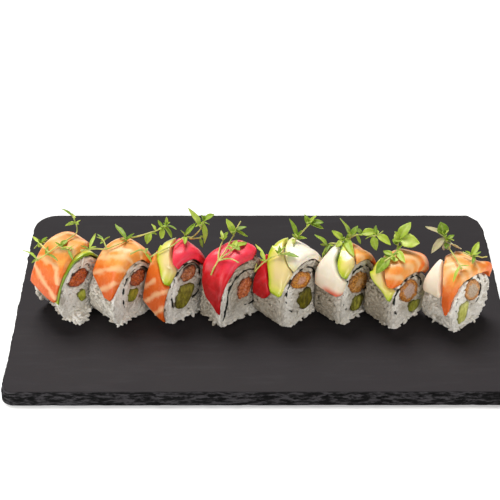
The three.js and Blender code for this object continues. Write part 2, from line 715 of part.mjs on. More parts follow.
// Fried shrimp: a lumpy oval bar
function shrimpBody(name, grow, reach) {
  const roll = ROLLS[name];
  const { x, z, rx, rz, tilt } = roll.shrimp;
  const draw = seeded(roll.seed + 5);
  const sides = 12;
  const lumps = Array.from({ length: sides }, () => 0.9 + 0.1 * draw());
  const rings = [0, 1].map((share) => {
    const depth = lerp(-reach, roll.length + reach, share);
    return lumps.map((lump, i) => {
      const a = (i / sides) * 2 * Math.PI;
      const u = (rx * lump + grow) * Math.cos(a);
      const v = (rz * lump + grow) * Math.sin(a);
      const px = x + u * Math.cos(rad(tilt)) - v * Math.sin(rad(tilt));
      const pz = z + u * Math.sin(rad(tilt)) + v * Math.cos(rad(tilt));
      return place(name, px + roll.lean * pz, depth, pz);
    });
  });
  return loft(rings);
}

// Avocado stick: a block with softened corners, narrower at the foot
function avocadoBody(name, grow, reach) {
  const roll = ROLLS[name];
  const { x, z, w, h, tilt } = roll.avocado;
  const sides = 10;
  const ring = (depth) => Array.from({ length: sides }, (_, i) => {
    const a = (i / sides) * 2 * Math.PI + 0.3;
    const u = Math.sign(Math.cos(a)) * Math.abs(Math.cos(a)) ** 0.6 * (w / 2);
    const v = Math.sign(Math.sin(a)) * Math.abs(Math.sin(a)) ** 0.6 * (h / 2);
    const taper = 0.86 + 0.14 * (v / (h / 2));
    const out = Math.hypot(u * taper, v);
    const scale = (out + grow) / out;
    const px = x + u * taper * scale * Math.cos(rad(tilt)) - v * scale * Math.sin(rad(tilt));
    const pz = z + u * taper * scale * Math.sin(rad(tilt)) + v * scale * Math.cos(rad(tilt));
    return place(name, px + roll.lean * pz, depth, pz);
  });
  return loft([ring(-reach), ring(roll.length + reach)]);
}

// A slice draped over the roll between its rows
function sliceBody(slice) {
  const { roll: name, rows, over = 0, thick = null, proud = 0, flares = [] } = slice;
  const first = rows[0][0];
  const last = rows[rows.length - 1][0];
  const arcs = rows.map((row) => row[0]);
  for (let a = Math.ceil(first / ARC_STEP) * ARC_STEP; a <= last; a += ARC_STEP) {
    if (arcs.every((b) => Math.abs(a - b) > 1.4)) arcs.push(a);
  }
  arcs.sort((a, b) => a - b);
  const upper = [];
  const lower = [];
  arcs.forEach((arc, i) => {
    const s = skin(name, arc);
    const near = between(rows, arc, 1) + 0.12;
    const far = between(rows, arc, 2) - 0.12;
    const cols = far - near > 9 ? 4 : 3;
    const cover = coverAt(name, arc);
    const base = cover - GAP - (over ? over + GAP : 0);
    const full = thick ?? Math.max(base + proud, SLICE_MIN);
    const tip = i === 0 || i === arcs.length - 1 ? 0.55 : 1;
    const up = [];
    const down = [];
    for (let c = 0; c < 5; c += 1) {
      const share = [0, 0.14, 0.5, 0.86, 1][c];
      const depth = lerp(near, far, share);
      const edge = c === 0 || c === 4 ? SLICE_ROUND : 1;
      const lifted = flares.reduce(
        (sum, [a, d, span, high]) => sum + high * smooth(1 - Math.hypot(arc - a, depth - d) / span),
        0,
      );
      const low = -base;
      const high = low + full * edge * tip + lifted;
      const under = low + lifted * 0.6;
      if (cols === 3 && (c === 1 || c === 3)) continue;
      up.push(place(name, s.x + s.nx * high, depth, s.z + s.nz * high));
      down.push(place(name, s.x + s.nx * under, depth, s.z + s.nz * under));
    }
    upper.push(up);
    lower.push(down);
  });
  const width = Math.min(...upper.map((row) => row.length));
  const trim = (row) => (row.length === width ? row : [row[0], row[2], row[4]]);
  return slab(upper.map(trim), lower.map(trim));
}

// A point pushed clear of every roll it would touch
function cleared(point) {
  const out = point.clone();
  for (const [name, roll] of Object.entries(ROLLS)) {
    const c = Math.cos(rad(roll.turn));
    const s = Math.sin(rad(roll.turn));
    const x = (out.x - roll.x) * c + (out.y - roll.y) * s;
    const depth = -(out.x - roll.x) * s + (out.y - roll.y) * c;
    const z = out.z - SLATE_THICK - REST;
    const least = SPRIG_CLEAR + roll.proud;
    if (depth < -1 || depth > roll.length + 1 || Math.abs(x) > roll.width || z < 20) continue;
    let best = null;
    for (let arc = -40; arc <= 40; arc += 1) {
      const at = skin(name, arc);
      const away = (x - at.x) ** 2 + (z - at.z) ** 2;
      if (!best || away < best.away) best = { away, at };
    }
    const lift = (x - best.at.x) * best.at.nx + (z - best.at.z) * best.at.nz;
    if (lift < least) {
      out.copy(place(name, x + best.at.nx * (least - lift), depth, z + best.at.nz * (least - lift)));
    }
  }
  return out;
}

// A stem runs through arc, depth and lift rows told from the skin of its roll; a branch starts on
// the nearest place of the main stem.
function stemCurve(name, rows, main) {
  const path = new THREE.CatmullRomCurve3(rows.map((row) => new THREE.Vector3(...row)), false, 'centripetal');
  const points = path.getSpacedPoints(12).map((row) => {
    const s = skin(name, row.x);
    return cleared(place(name, s.x + s.nx * row.z, row.y, s.z + s.nz * row.z));
  });
  if (main) {
    const away = (point) => point.distanceTo(points[0]);
    const near = main.getSpacedPoints(80).sort((a, b) => away(a) - away(b))[0];
    if (near.distanceTo(points[0]) > 0.4) points.unshift(near);
    else points[0].copy(near);
  }
  return new THREE.CatmullRomCurve3(points);
}

function stemBody(curve, samples) {
  const rings = [];
  const frames = curve.computeFrenetFrames(samples, false);
  for (let i = 0; i <= samples; i += 1) {
    const middle = curve.getPointAt(i / samples);
    const radius = STEM_RADIUS * lerp(1, 0.7, i / samples);
    rings.push(Array.from({ length: STEM_SIDES }, (_, k) => {
      const a = (k / STEM_SIDES) * 2 * Math.PI;
      return middle.clone()
        .addScaledVector(frames.normals[i], radius * Math.cos(a))
        .addScaledVector(frames.binormals[i], radius * Math.sin(a));
    }));
  }
  return loft(rings);
}

// Thin wavy leaf from its base along a direction, lying on what is under it
function leafBody(base, heading, rise, length, width, draw) {
  const along = new THREE.Vector3(
    Math.cos(rad(rise)) * Math.cos(rad(heading)),
    Math.cos(rad(rise)) * Math.sin(rad(heading)),
    Math.sin(rad(rise)),
  );
  const side = new THREE.Vector3(-Math.sin(rad(heading)), Math.cos(rad(heading)), 0);
  const face = along.clone().cross(side).normalize();
  if (face.z < 0) face.negate();
  const twist = (draw() - 0.5) * 0.8;
  const across = side.clone().multiplyScalar(Math.cos(twist)).addScaledVector(face, Math.sin(twist));
  const normal = across.clone().cross(along).normalize();
  if (normal.z < 0) normal.negate();
  const root = Math.max(0.22, 1.3 / width);
  const shares = [[-0.07, root], [0.3, 0.92], [0.66, 0.8], [1, 0.12]];
  const upper = [];
  const lower = [];
  shares.forEach(([t, w], i) => {
    const bend = 0.05 * length * Math.sin(t * 4.4);
    const row = [-1, 1].map((k) => {
      const corner = base.clone()
        .addScaledVector(along, t * length)
        .addScaledVector(across, (k * w * width) / 2)
        .addScaledVector(normal, bend);
      return i === 0 ? corner : cleared(corner);
    });
    upper.push(row.map((p) => p.clone().addScaledVector(normal, LEAF_THICK / 2)));
    lower.push(row.map((p) => p.clone().addScaledVector(normal, -LEAF_THICK / 2)));
  });
  return slab(upper, lower);
}

function sprigBody(sprig, seed) {
  const draw = seeded(seed);
  const curves = [];
  for (const rows of sprig.stems) curves.push(stemCurve(sprig.roll, rows, curves[0]));
  let solid = null;
  const join = (geometry) => {
    const next = toSolid(geometry);
    solid = solid ? solid.add(next) : next;
  };
  curves.forEach((curve, i) => join(stemBody(curve, i === 0 ? 8 : 3)));
  for (const [stem, share, heading, rise, length, width] of sprig.leaves) {
    join(leafBody(curves[stem].getPointAt(share), heading, rise, length, width, draw));
  }
  return fromSolid(largest(solid, SPRIG_TRIM));
}

// Slate outline walked anticlockwise, the back right corner knocked off
function slateOutline() {
  const hx = SLATE_LENGTH / 2;
  const hy = SLATE_DEPTH / 2;
  const front = SLATE_FRONT_CORNER;
  const back = SLATE_BACK_CORNER;
  const outline = [];
  const corner = (cx, cy, from, r) => {
    for (let i = 0; i <= 4; i += 1) {
      const a = rad(from + i * 22.5);
      outline.push([cx + r * Math.cos(a), cy + r * Math.sin(a)]);
    }
  };
  corner(hx - front, -hy + front, -90, front);
  outline.push([hx, hy - SLATE_CLIP * 1.5], [hx - 2.2, hy - SLATE_CLIP * 0.62], [hx - SLATE_CLIP * 0.8, hy]);
  corner(-hx + back, hy - back, 90, back);
  corner(-hx + front, -hy + front, 180, front);
  const walked = [];
  outline.forEach(([x, y], i) => {
    const [xn, yn] = outline[(i + 1) % outline.length];
    const pieces = Math.max(1, Math.round(Math.hypot(xn - x, yn - y) / SLATE_STEP));
    for (let k = 0; k < pieces; k += 1) walked.push([lerp(x, xn, k / pieces), lerp(y, yn, k / pieces)]);
  });
  return walked;
}

function slateBody() {
  const draw = seeded(7);
  const outline = slateOutline();
  const levels = [[0, 0.4], [1.6, 1], [4.6, 0.35], [7.2, 0.15], [SLATE_THICK, -0.5]];
  const rings = levels.map(([z, out], k) => outline.map(([x, y]) => {
    const chip = SLATE_CHIP * (draw() * 2 - 1) * (k === 4 ? 0.5 : 1);
    const grow = out * SLATE_FLARE + chip;
    const reach = Math.hypot(x / SLATE_LENGTH, y / SLATE_DEPTH);
    return new THREE.Vector3(x + (grow * x) / SLATE_LENGTH / reach, y + (grow * y) / SLATE_DEPTH / reach, z);
  }));
  return loft(rings);
}

const group = new THREE.Group();
group.name = 'sushi_rolls';

function node(name, geometry, colour, roughness) {
  const shape = facesOut(geometry);
  shape.computeVertexNormals();
  const material = new THREE.MeshStandardMaterial({ color: colour, roughness, metalness: 0 });
  const mesh = new THREE.Mesh(shape, material);
  mesh.name = name;
  group.add(mesh);
}

node('slate', slateBody(), COLOUR.slate, 0.8);

for (const name of Object.keys(ROLLS)) {
  const roll = ROLLS[name];
  const count = name.slice(-1);
  let rice = toSolid(riceBody(name));
  rice = rice.subtract(toSolid(noriBody(name, GAP, 2)));
  rice = rice.subtract(toSolid(shrimpBody(name, GAP, 2)));
  if (roll.avocado) rice = rice.subtract(toSolid(avocadoBody(name, GAP, 2)));
  node(`rice_${count}`, fromSolid(largest(rice, TRIM)), COLOUR.rice, 0.55);
  node(`nori_${count}`, noriBody(name, 0, PROUD), COLOUR.nori, 0.7);
  node(`shrimp_${count}`, shrimpBody(name, 0, PROUD), COLOUR.shrimp, 0.7);
  if (roll.avocado) node(`filling_${count}`, avocadoBody(name, 0, PROUD), COLOUR.avocado, 0.5);
}

for (const [name, slice] of Object.entries(SLICES)) {
  node(name, sliceBody(slice), COLOUR[slice.kind], 0.4);
}

Object.entries(SPRIGS).forEach(([name, sprig], i) => {
  node(name, sprigBody(sprig, 320 + i), COLOUR.sprig, 0.6);
});

export default group;
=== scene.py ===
import math

import bpy
import numpy as np
from mathutils import Matrix, Vector


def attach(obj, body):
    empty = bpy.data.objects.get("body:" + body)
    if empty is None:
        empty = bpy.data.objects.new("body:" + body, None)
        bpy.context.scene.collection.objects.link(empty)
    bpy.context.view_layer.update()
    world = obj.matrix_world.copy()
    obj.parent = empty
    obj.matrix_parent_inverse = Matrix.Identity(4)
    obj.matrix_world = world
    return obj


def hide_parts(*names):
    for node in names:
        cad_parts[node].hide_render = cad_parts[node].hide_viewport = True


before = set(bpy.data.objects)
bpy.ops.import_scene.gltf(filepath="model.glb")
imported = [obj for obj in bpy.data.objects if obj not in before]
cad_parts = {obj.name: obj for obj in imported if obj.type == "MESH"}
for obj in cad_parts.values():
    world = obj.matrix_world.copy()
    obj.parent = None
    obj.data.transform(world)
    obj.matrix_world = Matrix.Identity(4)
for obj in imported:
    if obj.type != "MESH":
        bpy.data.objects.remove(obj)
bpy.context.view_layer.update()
scene = bpy.context.scene

MM = 0.001

# Plate: its size, the radii of its corners and the size of the corner knocked off
SLATE_LENGTH = 300
SLATE_DEPTH = 181
SLATE_THICK = 9
SLATE_BACK_CORNER = 15
SLATE_FRONT_CORNER = 7
SLATE_CLIP = 11

# Rolls: clear height over the plate, gap under a slice, least thickness of a slice, least depth of the
# rice under the skin, and the height of the widest place as a share of the whole
REST = 0.3
GAP = 0.32
SLICE_MIN = 1.5
RICE_EDGE = 0.5
BELT = 0.42

# Camera: place in millimetres, angles in degrees, focal length in widths of the picture
CAMERA_AT = (-13.76, -711.4, 552.9)
CAMERA_PITCH = 35.54
CAMERA_YAW = 0.57
CAMERA_ROLL = 0.31
CAMERA_FOCAL = 1430 / 500

# Light: strength of the white room; the window's strength, spread in degrees, tint and direction;
# each panel's power in watts, width in metres, tint and place in metres
WORLD_LIGHT = 0.2
WINDOW = (3.65, 33, (1, 0.985, 0.955), (-0.15, 0.5, 0.85))
PANELS = {
    "left_panel": (0.65, 0.2, (1, 0.99, 0.97), (-0.34, -0.24, 0.08)),
    "right_panel": (0.7, 0.2, (1, 0.97, 0.93), (0.3, -0.4, 0.1)),
}
PANEL_AIM = (0, -0.02, 0.03)

# Rolls: place and turn of the front cut face, size over the toppings, powers of the curves above and
# below the belt, lean, depth of the toppings and how far they reach down each side. The nori is a curl
# between two angles. The shrimp has its place across and up, half sizes and tilt, and the avocado its
# place, full sizes and tilt.
ROLLS = {
    "roll_1": dict(
        x=-109.7, y=-19.6, turn=43.6, width=37.2, length=26, height=47, crown=2.25, belt=0.5, foot=2.4,
        lean=0.09, cover=5.4, left=39, right=30, tuck=8, seed=11,
        nori=dict(x=-1, z=22.4, rx=12.6, rz=13.2, ends=(196, -58), square=1),
        shrimp=(-2.8, 28.6, 7.8, 5.6, 8), avocado=(0, 14.6, 6.4, 8, 14),
    ),
    "roll_2": dict(
        x=-77.7, y=-22.2, turn=43.6, width=36, length=22.5, height=47, crown=2.35, foot=3.2,
        lean=0.1, cover=7, left=36, right=31, seed=23,
        nori=dict(x=1, z=20.6, rx=10.2, rz=15.2, ends=(222, -55), square=0.9),
        shrimp=(1.8, 28.2, 6.4, 5.6, -14), avocado=(-1.6, 17.6, 9.4, 8.6, -16),
    ),
    "roll_3": dict(
        x=-46.3, y=-23, turn=39.5, width=36, length=20.1, height=48, crown=2.3, foot=3,
        lean=0.08, cover=6.2, left=50, fade=44, right=30, proud=0.9, seed=37,
        nori=dict(x=-0.4, z=23.2, rx=10.6, rz=16.8, ends=(226, -50), square=0.85),
        shrimp=(0.8, 32.8, 6, 5.6, -8), avocado=(-1.6, 17.6, 14.2, 17, -18),
    ),
    "roll_4": dict(
        x=-12.2, y=-23.6, turn=40, width=36, length=19.4, height=47, crown=2.6, foot=5,
        lean=0.08, cover=5.8, left=45, fade=34, right=20, proud=0.3, seed=41,
        nori=dict(x=1, z=20.5, rx=13, rz=14.6, ends=(192, -84), square=1, tail=[[-14.4, 5.4], [-12.9, 12]]),
        shrimp=(1.2, 22.4, 6, 7.6, -14), avocado=None,
    ),
    "roll_5": dict(
        x=24, y=-25.1, turn=41.7, width=38.4, length=23.7, height=47.6, crown=2.3, foot=3.2,
        lean=0.08, cover=4.6, left=39, fade=28, right=32, proud=0.3, seed=53,
        nori=dict(x=-1.2, z=23.2, rx=12.2, rz=15.6, ends=(222, -20), square=0.9, tilt=12),
        shrimp=(-2.3, 30.8, 8.8, 5.8, -26), avocado=(2.6, 15, 13, 14.4, 22),
    ),
    "roll_6": dict(
        x=58.7, y=-20.8, turn=45, width=36, length=19.8, height=44.5, crown=2.4, foot=4.2,
        lean=0.03, cover=4, left=35, right=30, proud=1, seed=67,
        nori=dict(x=-1.2, z=22, rx=12.6, rz=14.8, ends=(226, -24), square=0.9),
        shrimp=(-0.3, 26, 10, 7.4, -40), avocado=(-0.4, 10.6, 12.6, 11, -20),
    ),
    "roll_7": dict(
        x=88.6, y=-26.1, turn=43, width=36, length=20, height=43.5, crown=2.75, foot=3.4,
        lean=0.03, cover=8.8, left=31, fade=28, right=30, proud=0.9, seed=71,
        nori=dict(x=-0.6, z=20, rx=12.4, rz=12.9, ends=(216, -24), square=0.9, tilt=8),
        shrimp=(0.1, 23.2, 9.9, 7.4, -46), avocado=(6.2, 9, 12, 8, -8),
    ),
    "roll_8": dict(
        x=125.3, y=-29.2, turn=42, width=36, length=22.7, height=41.5, crown=2.6, foot=3,
        lean=0.04, cover=5.6, left=36, right=24, proud=1.6, seed=89,
        nori=dict(x=-1.2, z=21.2, rx=11.2, rz=13.8, ends=(206, -60), square=1),
        shrimp=(1.3, 25.3, 10, 6.2, -52), avocado=(-5.2, 11.6, 10.2, 15.6, -2),
    ),
}

# Slices, named by kind and roll: rows of arc from the crown, near edge and far edge
SLICES = {
    "avocado_1": [
        [-40.4, 0, 3.4], [-39.2, 0, 8], [-38, 0, 12.4], [-36, 0, 23], [-35, 0, 26], [20, 0, 26], [28, 2, 20],
    ],
    "salmon_1": [
        [-39.4, 2.4, 6.5], [-38.2, 0.9, 11], [-36, 0.6, 22.6], [-35, 0.6, 26], [-30, 0.6, 26], [-22, 0.9, 26],
        [-12, 1.8, 26], [0, 3.8, 26], [8, 6, 26], [16, 9.5, 24],
    ],
    "salmon_2": [[-37, 2.6, 7], [-34, 1, 11], [-29, 0, 17.5], [-25, 0, 22.5], [20, 0, 22.5], [29, 3, 17]],
    "salmon_3": [
        [-53.4, 0.5, 3.5], [-49, 0, 10.5], [-45, 0, 20.1], [-27, 0, 20.1], [-26.2, 2.2, 20.1],
        [-23, 5, 20.1], [-18.5, 9.9, 20.1], [-13.6, 15.9, 20.1], [-10, 19.4, 20.1],
    ],
    "avocado_3": [
        [-25.8, 0.2, 1.4], [-23, 0, 4.2], [-18.5, 0, 9], [-15.5, 0.3, 12.8], [-13.6, 1.6, 15],
        [-9, 6.8, 18.4], [-2.9, 12.4, 20.1], [2.5, 16.2, 20.1], [5.4, 18.4, 20.1],
    ],
    "tuna_3": [
        [-12.4, 0, 1.9], [-9, 0, 5.9], [-2.9, 0, 11.5], [2.5, 0, 15.2], [6, 0, 18], [8, 0, 20.1],
        [23, 0, 20.1], [29, 3, 17],
    ],
    "tuna_4": [
        [-45.4, 0, 1.4], [-43, 0, 4.7], [-38.9, 0, 12.3], [-34.1, 0, 16.7], [-30, 0, 19.4], [4, 0, 19.4],
        [9, 0.6, 19.4], [14, 3.4, 19.4], [20, 7, 17],
    ],
    "tuna_5": [
        [-40.4, 16, 20], [-39, 13, 23.7], [-35.7, 10.4, 23.7], [-33, 9.4, 23.7], [-28.9, 11.7, 23.7],
        [-23, 15.4, 23.7], [-16.7, 20, 23.7], [-13.4, 22.4, 23.7],
    ],
    "avocado_5": [
        [-32.6, 2.6, 7], [-31.4, 0.8, 9], [-29, 0, 10.9], [-23, 0, 14.6], [-16.7, 0, 19.2],
        [-15.2, 0.4, 20], [-12, 5.4, 21.6], [-8, 11.6, 22.6], [-2, 17.6, 23.7], [7, 22, 23.7],
    ],
    "whitefish_5": [
        [-13.4, 0, 1.6], [-12, 0, 4.6], [-8, 0, 10.8], [-2, 0, 16.8], [7, 0, 21.2], [11, 0, 23],
        [24, 0, 23.7], [30, 3, 20],
    ],
    "whitefish_6": [
        [-31, 3, 7.5], [-30.2, 1, 14.5], [-29.2, -0.6, 18.4], [-27.4, -1.2, 19.8], [-20.4, -1.2, 19.8],
        [-18.8, 2.6, 19.8], [-16.1, 6.4, 19.8], [-12.4, 9.8, 19.8], [-5, 13.7, 19.8], [-1.5, 16.5, 19.8],
    ],
    "avocado_6": [
        [-18.4, 0.2, 1.6], [-16.1, 0, 5.6], [-12.4, 0, 9], [-7.5, 0.2, 11.4], [-5, 1.2, 12.8],
        [-3.3, 2.6, 14], [0.1, 6.2, 16.8], [4, 10.6, 19.8], [9, 15, 19.8],
    ],
    "salmon_6": [
        [-4, 0, 1.2], [-3.3, 0, 1.8], [0.1, 0, 5.4], [4, 0, 9.8], [9, 0, 14.2], [12, 0, 19.8], [23, 0, 19.8],
        [28, 3, 16],
    ],
    "avocado_7": [
        [-30.2, 0, 1], [-27.5, 0, 3.6], [-24.6, 0, 8.8], [-23.5, 0, 12], [-22.9, 5.2, 13.4],
        [-21.6, 6.2, 16.2], [-18.9, 8.4, 19], [-15.5, 10.9, 20], [-8.7, 17, 20], [-6, 19, 20],
    ],
    "salmon_7": [
        [-22.5, 2, 4], [-21.8, 1.4, 5.1], [-18.9, 0.2, 7.5], [-15.5, 0, 10], [-8.7, 0, 16], [-6, 0, 18.2],
        [-3.5, 0, 20], [22, 0, 20], [27, 2, 17],
    ],
    "whitefish_8": [
        [-29.4, 11, 19], [-28.4, 9.4, 22], [-27, 9.2, 22.7], [-23.6, 10.3, 22.7], [-14.3, 14.6, 22.7],
        [-8, 18.2, 22.7], [-6, 19.6, 22.7],
    ],
    "salmon_8": [
        [-38, 2.8, 3.9], [-36.5, 2.2, 5], [-32, 1.6, 7.6], [-23.6, 1.5, 9.9], [-14.3, 1.2, 14.2],
        [-8, 0.6, 17.8], [-4, 0, 20], [0, 0, 22.7], [14, 0, 19], [20, 0.2, 10], [24.4, 0.8, 7],
    ],
}
# Thickness where it is not told by the depth of the cover, height over another slice or over the cover,
# and places lifted off the roll: arc, depth, reach and height
THIN = {"avocado_1": 1.2}
OVER = {"salmon_1": 1.2}
PROUD = {
    "avocado_3": 0.9, "avocado_5": 0.3, "whitefish_6": 2.2, "avocado_6": 0.9, "avocado_7": 1.5,
    "salmon_7": 0.4, "whitefish_8": 1,
}
FLARES = {
    "tuna_4": [[11, 8, 9, 1.2], [-17, 19, 13, 3.2]],
    "whitefish_6": [[-20, 18, 10.5, 2.6]],
    "salmon_7": [[22, 7, 13, 4.5]],
    "whitefish_8": [[-22, 22.7, 12, 2.4]],
    "salmon_8": [[18, 1, 9, 4.6]],
}

# Sprigs: the roll each lies on; stems as rows of arc, depth and height over the skin; leaves with their
# stem, the share along it, heading and rise in degrees, length and width
SPRIGS = {
    "sprig_1": dict(
        roll="roll_1",
        stems=[
            [
                [-21.7, 23.6, 1], [-13, 16.3, 1], [-2.3, 13.7, 1], [7.4, 15.8, 3.1], [7.4, 19, 7.6],
                [6.4, 21.4, 11.2],
            ],
            [[-13, 16.3, 1], [-11.5, 29, -2.5]],
            [[-6.9, 13.5, 1], [-6.4, 8.3, 1], [-5.9, 4.8, 1]],
        ],
        leaves=[
            [0, 0.05, 128, -4, 17, 2], [1, 1, 131, 6, 9.4, 1.7], [1, 1, 24, 44, 5.7, 2.3],
            [1, 1, 164, -39, 6.5, 2.3], [0, 0.21, -44, 10, 11.9, 2.7], [2, 0.18, 49, 17, 6.6, 3.3],
            [2, 0.37, -24, 11, 8, 2], [2, 0.91, -67, -6, 9.3, 1.7], [0, 0.9, -174, -10, 6.6, 2.7],
            [0, 0.88, 45, 24, 3.6, 2], [0, 1, 157, 29, 8.2, 2], [0, 0.96, -150, 77, 4.6, 3.3],
        ],
    ),
    "sprig_2": dict(
        roll="roll_2",
        stems=[
            [[-15.3, 22.2, 13.9], [-12.3, 19.2, 7.1], [-8.8, 16.2, 1], [-1, 12.6, 1], [7.5, 14.7, 1]],
            [[7.5, 14.7, 1], [9.5, 8.9, 6], [11.8, 4.5, 11.9], [12.6, 0.6, 18]],
            [[-9, 16.7, 1], [-5, 25.9, -2.3]],
        ],
        leaves=[
            [0, 0.15, 77, 13, 13.6, 2], [2, 1, 126, 16, 7.1, 1.7], [2, 1, 15, 38, 4.9, 2],
            [2, 0.52, 124, -5, 8.3, 1.7], [0, 0.85, 121, 16, 14.7, 3.3], [1, 0.55, -117, -45, 7.3, 4.7],
            [1, 0.69, 129, 37, 5, 2], [1, 0.88, 139, 48, 5.5, 2], [1, 1, 94, 68, 5.7, 2],
            [1, 1, -29, 2, 6.8, 2.3], [1, 0.93, -47, -29, 8.4, 4], [1, 0.88, -94, -40, 7.5, 3.3],
        ],
    ),
    "sprig_3": dict(
        roll="roll_3",
        stems=[
            [
                [-21.8, 21.6, 9.6], [-18.6, 19.9, 4.7], [-12.5, 15.5, 1], [-3.8, 10.1, 1], [12.5, 16, 1],
                [10.4, 9.4, 11.1], [9.9, 9.2, 16.1],
            ],
            [[12.5, 16, 1], [11.4, 6.8, 6.3]],
        ],
        leaves=[
            [0, 0.17, -37, -45, 7.1, 1.7], [0, 0.69, 39, 42, 10.4, 3.3], [0, 0.69, -89, 20, 14.1, 2.7],
            [0, 0.93, 144, 51, 14.4, 4.3], [0, 1, 15, 32, 7.4, 5.3], [0, 0.98, -80, -55, 12.3, 3.7],
            [1, 0.96, -68, -50, 6.1, 2], [1, 0.88, -33, 45, 3.7, 2],
        ],
    ),
    "sprig_4": dict(
        roll="roll_4",
        stems=[
            [[-22.3, 10, 1], [-13.3, 9.5, 1], [-7.3, 10.2, 1], [3, 16.7, 1.4], [6.5, 16.7, 12.3]],
            [[-13.3, 9.5, 1], [-7.5, 14.7, 1], [-0.5, 19.8, 1.2]],
            [[-13.3, 9.5, 1], [-7.3, 7.5, 1], [-0.8, 8.2, 1]],
            [[-13.3, 9.5, 1], [-9, 3.7, 1], [-7.8, -3, 1]],
        ],
        leaves=[
            [1, 0.89, 102, 29, 7, 2], [1, 1, 52, 37, 4.9, 2.3], [0, 0.77, 120, 40, 10.9, 4.7],
            [0, 0.83, 17, 18, 7.2, 3.3], [0, 0.84, -12, -22, 8.2, 2], [2, 0.77, 74, 5, 9.9, 3.3],
            [2, 0.98, -54, 8, 4.4, 2.7], [2, 1, 50, -10, 10.5, 4],
        ],
    ),
    "sprig_5": dict(
        roll="roll_5",
        stems=[
            [[-27.4, 24.2, 1], [-21, 21, 1], [-14, 16.6, 1], [-9, 11.6, 1]],
            [[-9, 11.6, 1], [-5.5, 8.3, 1]],
        ],
        leaves=[[0, 0.96, -27, 13, 12.4, 3.7], [0, 0.93, 47, 30, 6.9, 2.7], [0, 0.58, 112, 13, 15.2, 2.7]],
    ),
    "sprig_6": dict(
        roll="roll_5",
        stems=[[[0.5, 12.3, 1], [6.3, 15.8, 2.4], [7.3, 14.5, 6.4], [8.8, 12.7, 13.5]]],
        leaves=[
            [0, 0.38, 120, 47, 12.2, 3], [0, 0.33, 8, 0, 6.5, 2.3], [0, 0.27, -142, -19, 3, 2.7],
            [0, 0.91, 117, 46, 7, 3], [0, 0.95, 34, 44, 6.9, 3.3], [0, 1, -3, 8, 7.8, 4],
            [0, 0.98, -16, -12, 8.5, 3.3],
        ],
    ),
    "sprig_7": dict(
        roll="roll_6",
        stems=[
            [
                [-4.7, 23.6, -1.4], [-2.1, 17.5, 1], [6.9, 17.7, 1], [6.4, 14, 5.4], [6.9, 8.8, 8.9],
                [9, 1.9, 10.6], [10.6, 0.1, 15.2],
            ]
        ],
        leaves=[
            [0, 0, 142, 29, 10.4, 4], [0, 0, -105, -26, 9.1, 2], [0, 0.02, -73, -45, 7.6, 3],
            [0, 0.46, 137, 57, 13.5, 5.3], [0, 0.32, 156, 34, 8.8, 4], [0, 0.51, 51, 44, 7.7, 4],
            [0, 0.39, -81, 4, 18.9, 4.7], [0, 0.27, -117, 6, 7.4, 3.3], [0, 0.6, -48, -49, 6.1, 2],
            [0, 0.68, 12, 5, 9.9, 5.3], [0, 0.88, 90, 50, 6.3, 2.7], [0, 0.84, -73, -42, 8.9, 4.7],
            [0, 0.9, -30, -21, 10.1, 5.3],
        ],
    ),
    "sprig_8": dict(
        roll="roll_7",
        stems=[[[-9.8, 12.5, 1], [-2.6, 11.4, 1], [4.4, 15.9, 2.6], [6.8, 17.9, 6.4]]],
        leaves=[
            [0, 0.29, 143, 5, 7.3, 3.3], [0, 0.55, -73, -1, 12.3, 4], [0, 0.17, -145, -35, 12.4, 6.7],
            [0, 0.96, 47, 36, 12.7, 6.7], [0, 0.91, -17, 5, 12.6, 9.3], [0, 0.76, 135, 35, 5.2, 2.7],
        ],
    ),
    "sprig_9": dict(
        roll="roll_8",
        stems=[[[-7, 3.7, 1], [-1.2, 16, 1], [2.1, 23.4, 4.2], [2.5, 27.7, 8.3]]],
        leaves=[
            [0, 0.98, 155, 20, 12.9, 4], [0, 1, 113, 54, 8.6, 7.3], [0, 0.9, 17, 29, 5.9, 2.7],
            [0, 0.83, -2, -29, 10, 6], [0, 0.88, -85, -53, 7.2, 5.3], [0, 0.96, -140, -29, 12.7, 4.7],
            [0, 0.1, -119, -28, 11.3, 2],
        ],
    ),
    "sprig_10": dict(
        roll="roll_8",
        stems=[[[4.6, 13.9, 1], [6.3, 7.6, 1], [12.5, 6.7, 2.4], [14.6, 4.6, 5.2]]],
        leaves=[[0, 0.32, 59, 20, 11.5, 3.7], [0, 0.41, -105, 9, 9.8, 2.3]],
    ),
}


# Small tools


def smooth(t):
    u = np.clip(t, 0, 1)
    return u * u * (3 - 2 * u)


def turned(u, v, degrees):
    c, s = math.cos(math.radians(degrees)), math.sin(math.radians(degrees))
    return u * c - v * s, u * s + v * c


def seeded(seed):
    state = [seed & 0xFFFFFFFF]

    def draw():
        state[0] = (state[0] + 0x6D2B79F5) & 0xFFFFFFFF
        s = state[0]
        t = ((s ^ (s >> 15)) * (1 | s)) & 0xFFFFFFFF
        t = ((t + (((t ^ (t >> 7)) * (61 | t)) & 0xFFFFFFFF)) & 0xFFFFFFFF) ^ t
        return ((t ^ (t >> 14)) & 0xFFFFFFFF) / 4294967296

    return draw


def lattice(x, y, z, seed):
    h = (x * 374761393 + y * 668265263 + z * 362437 + seed * 974711) & 0xFFFFFFFF
    h = ((h ^ (h >> 13)) * 1274126177) & 0xFFFFFFFF
    h = ((h ^ (h >> 15)) * 668265263) & 0xFFFFFFFF
    return ((h >> 8) & 0xFFFF) / 65535.0


def noise(points, size, seed=0):
    """Smooth noise from -1 to 1 at points (..., 3), with lumps of that size."""
    q = np.asarray(points, dtype=float) / size
    cell = np.floor(q).astype(np.int64)
    f = smooth(q - cell)
    total = np.zeros(q.shape[:-1])
    for step in np.ndindex(2, 2, 2):
        share = np.prod(np.where(step, f, 1 - f), axis=-1)
        corner = cell + step
        total += share * lattice(corner[..., 0], corner[..., 1], corner[..., 2], seed)
    return total * 2 - 1


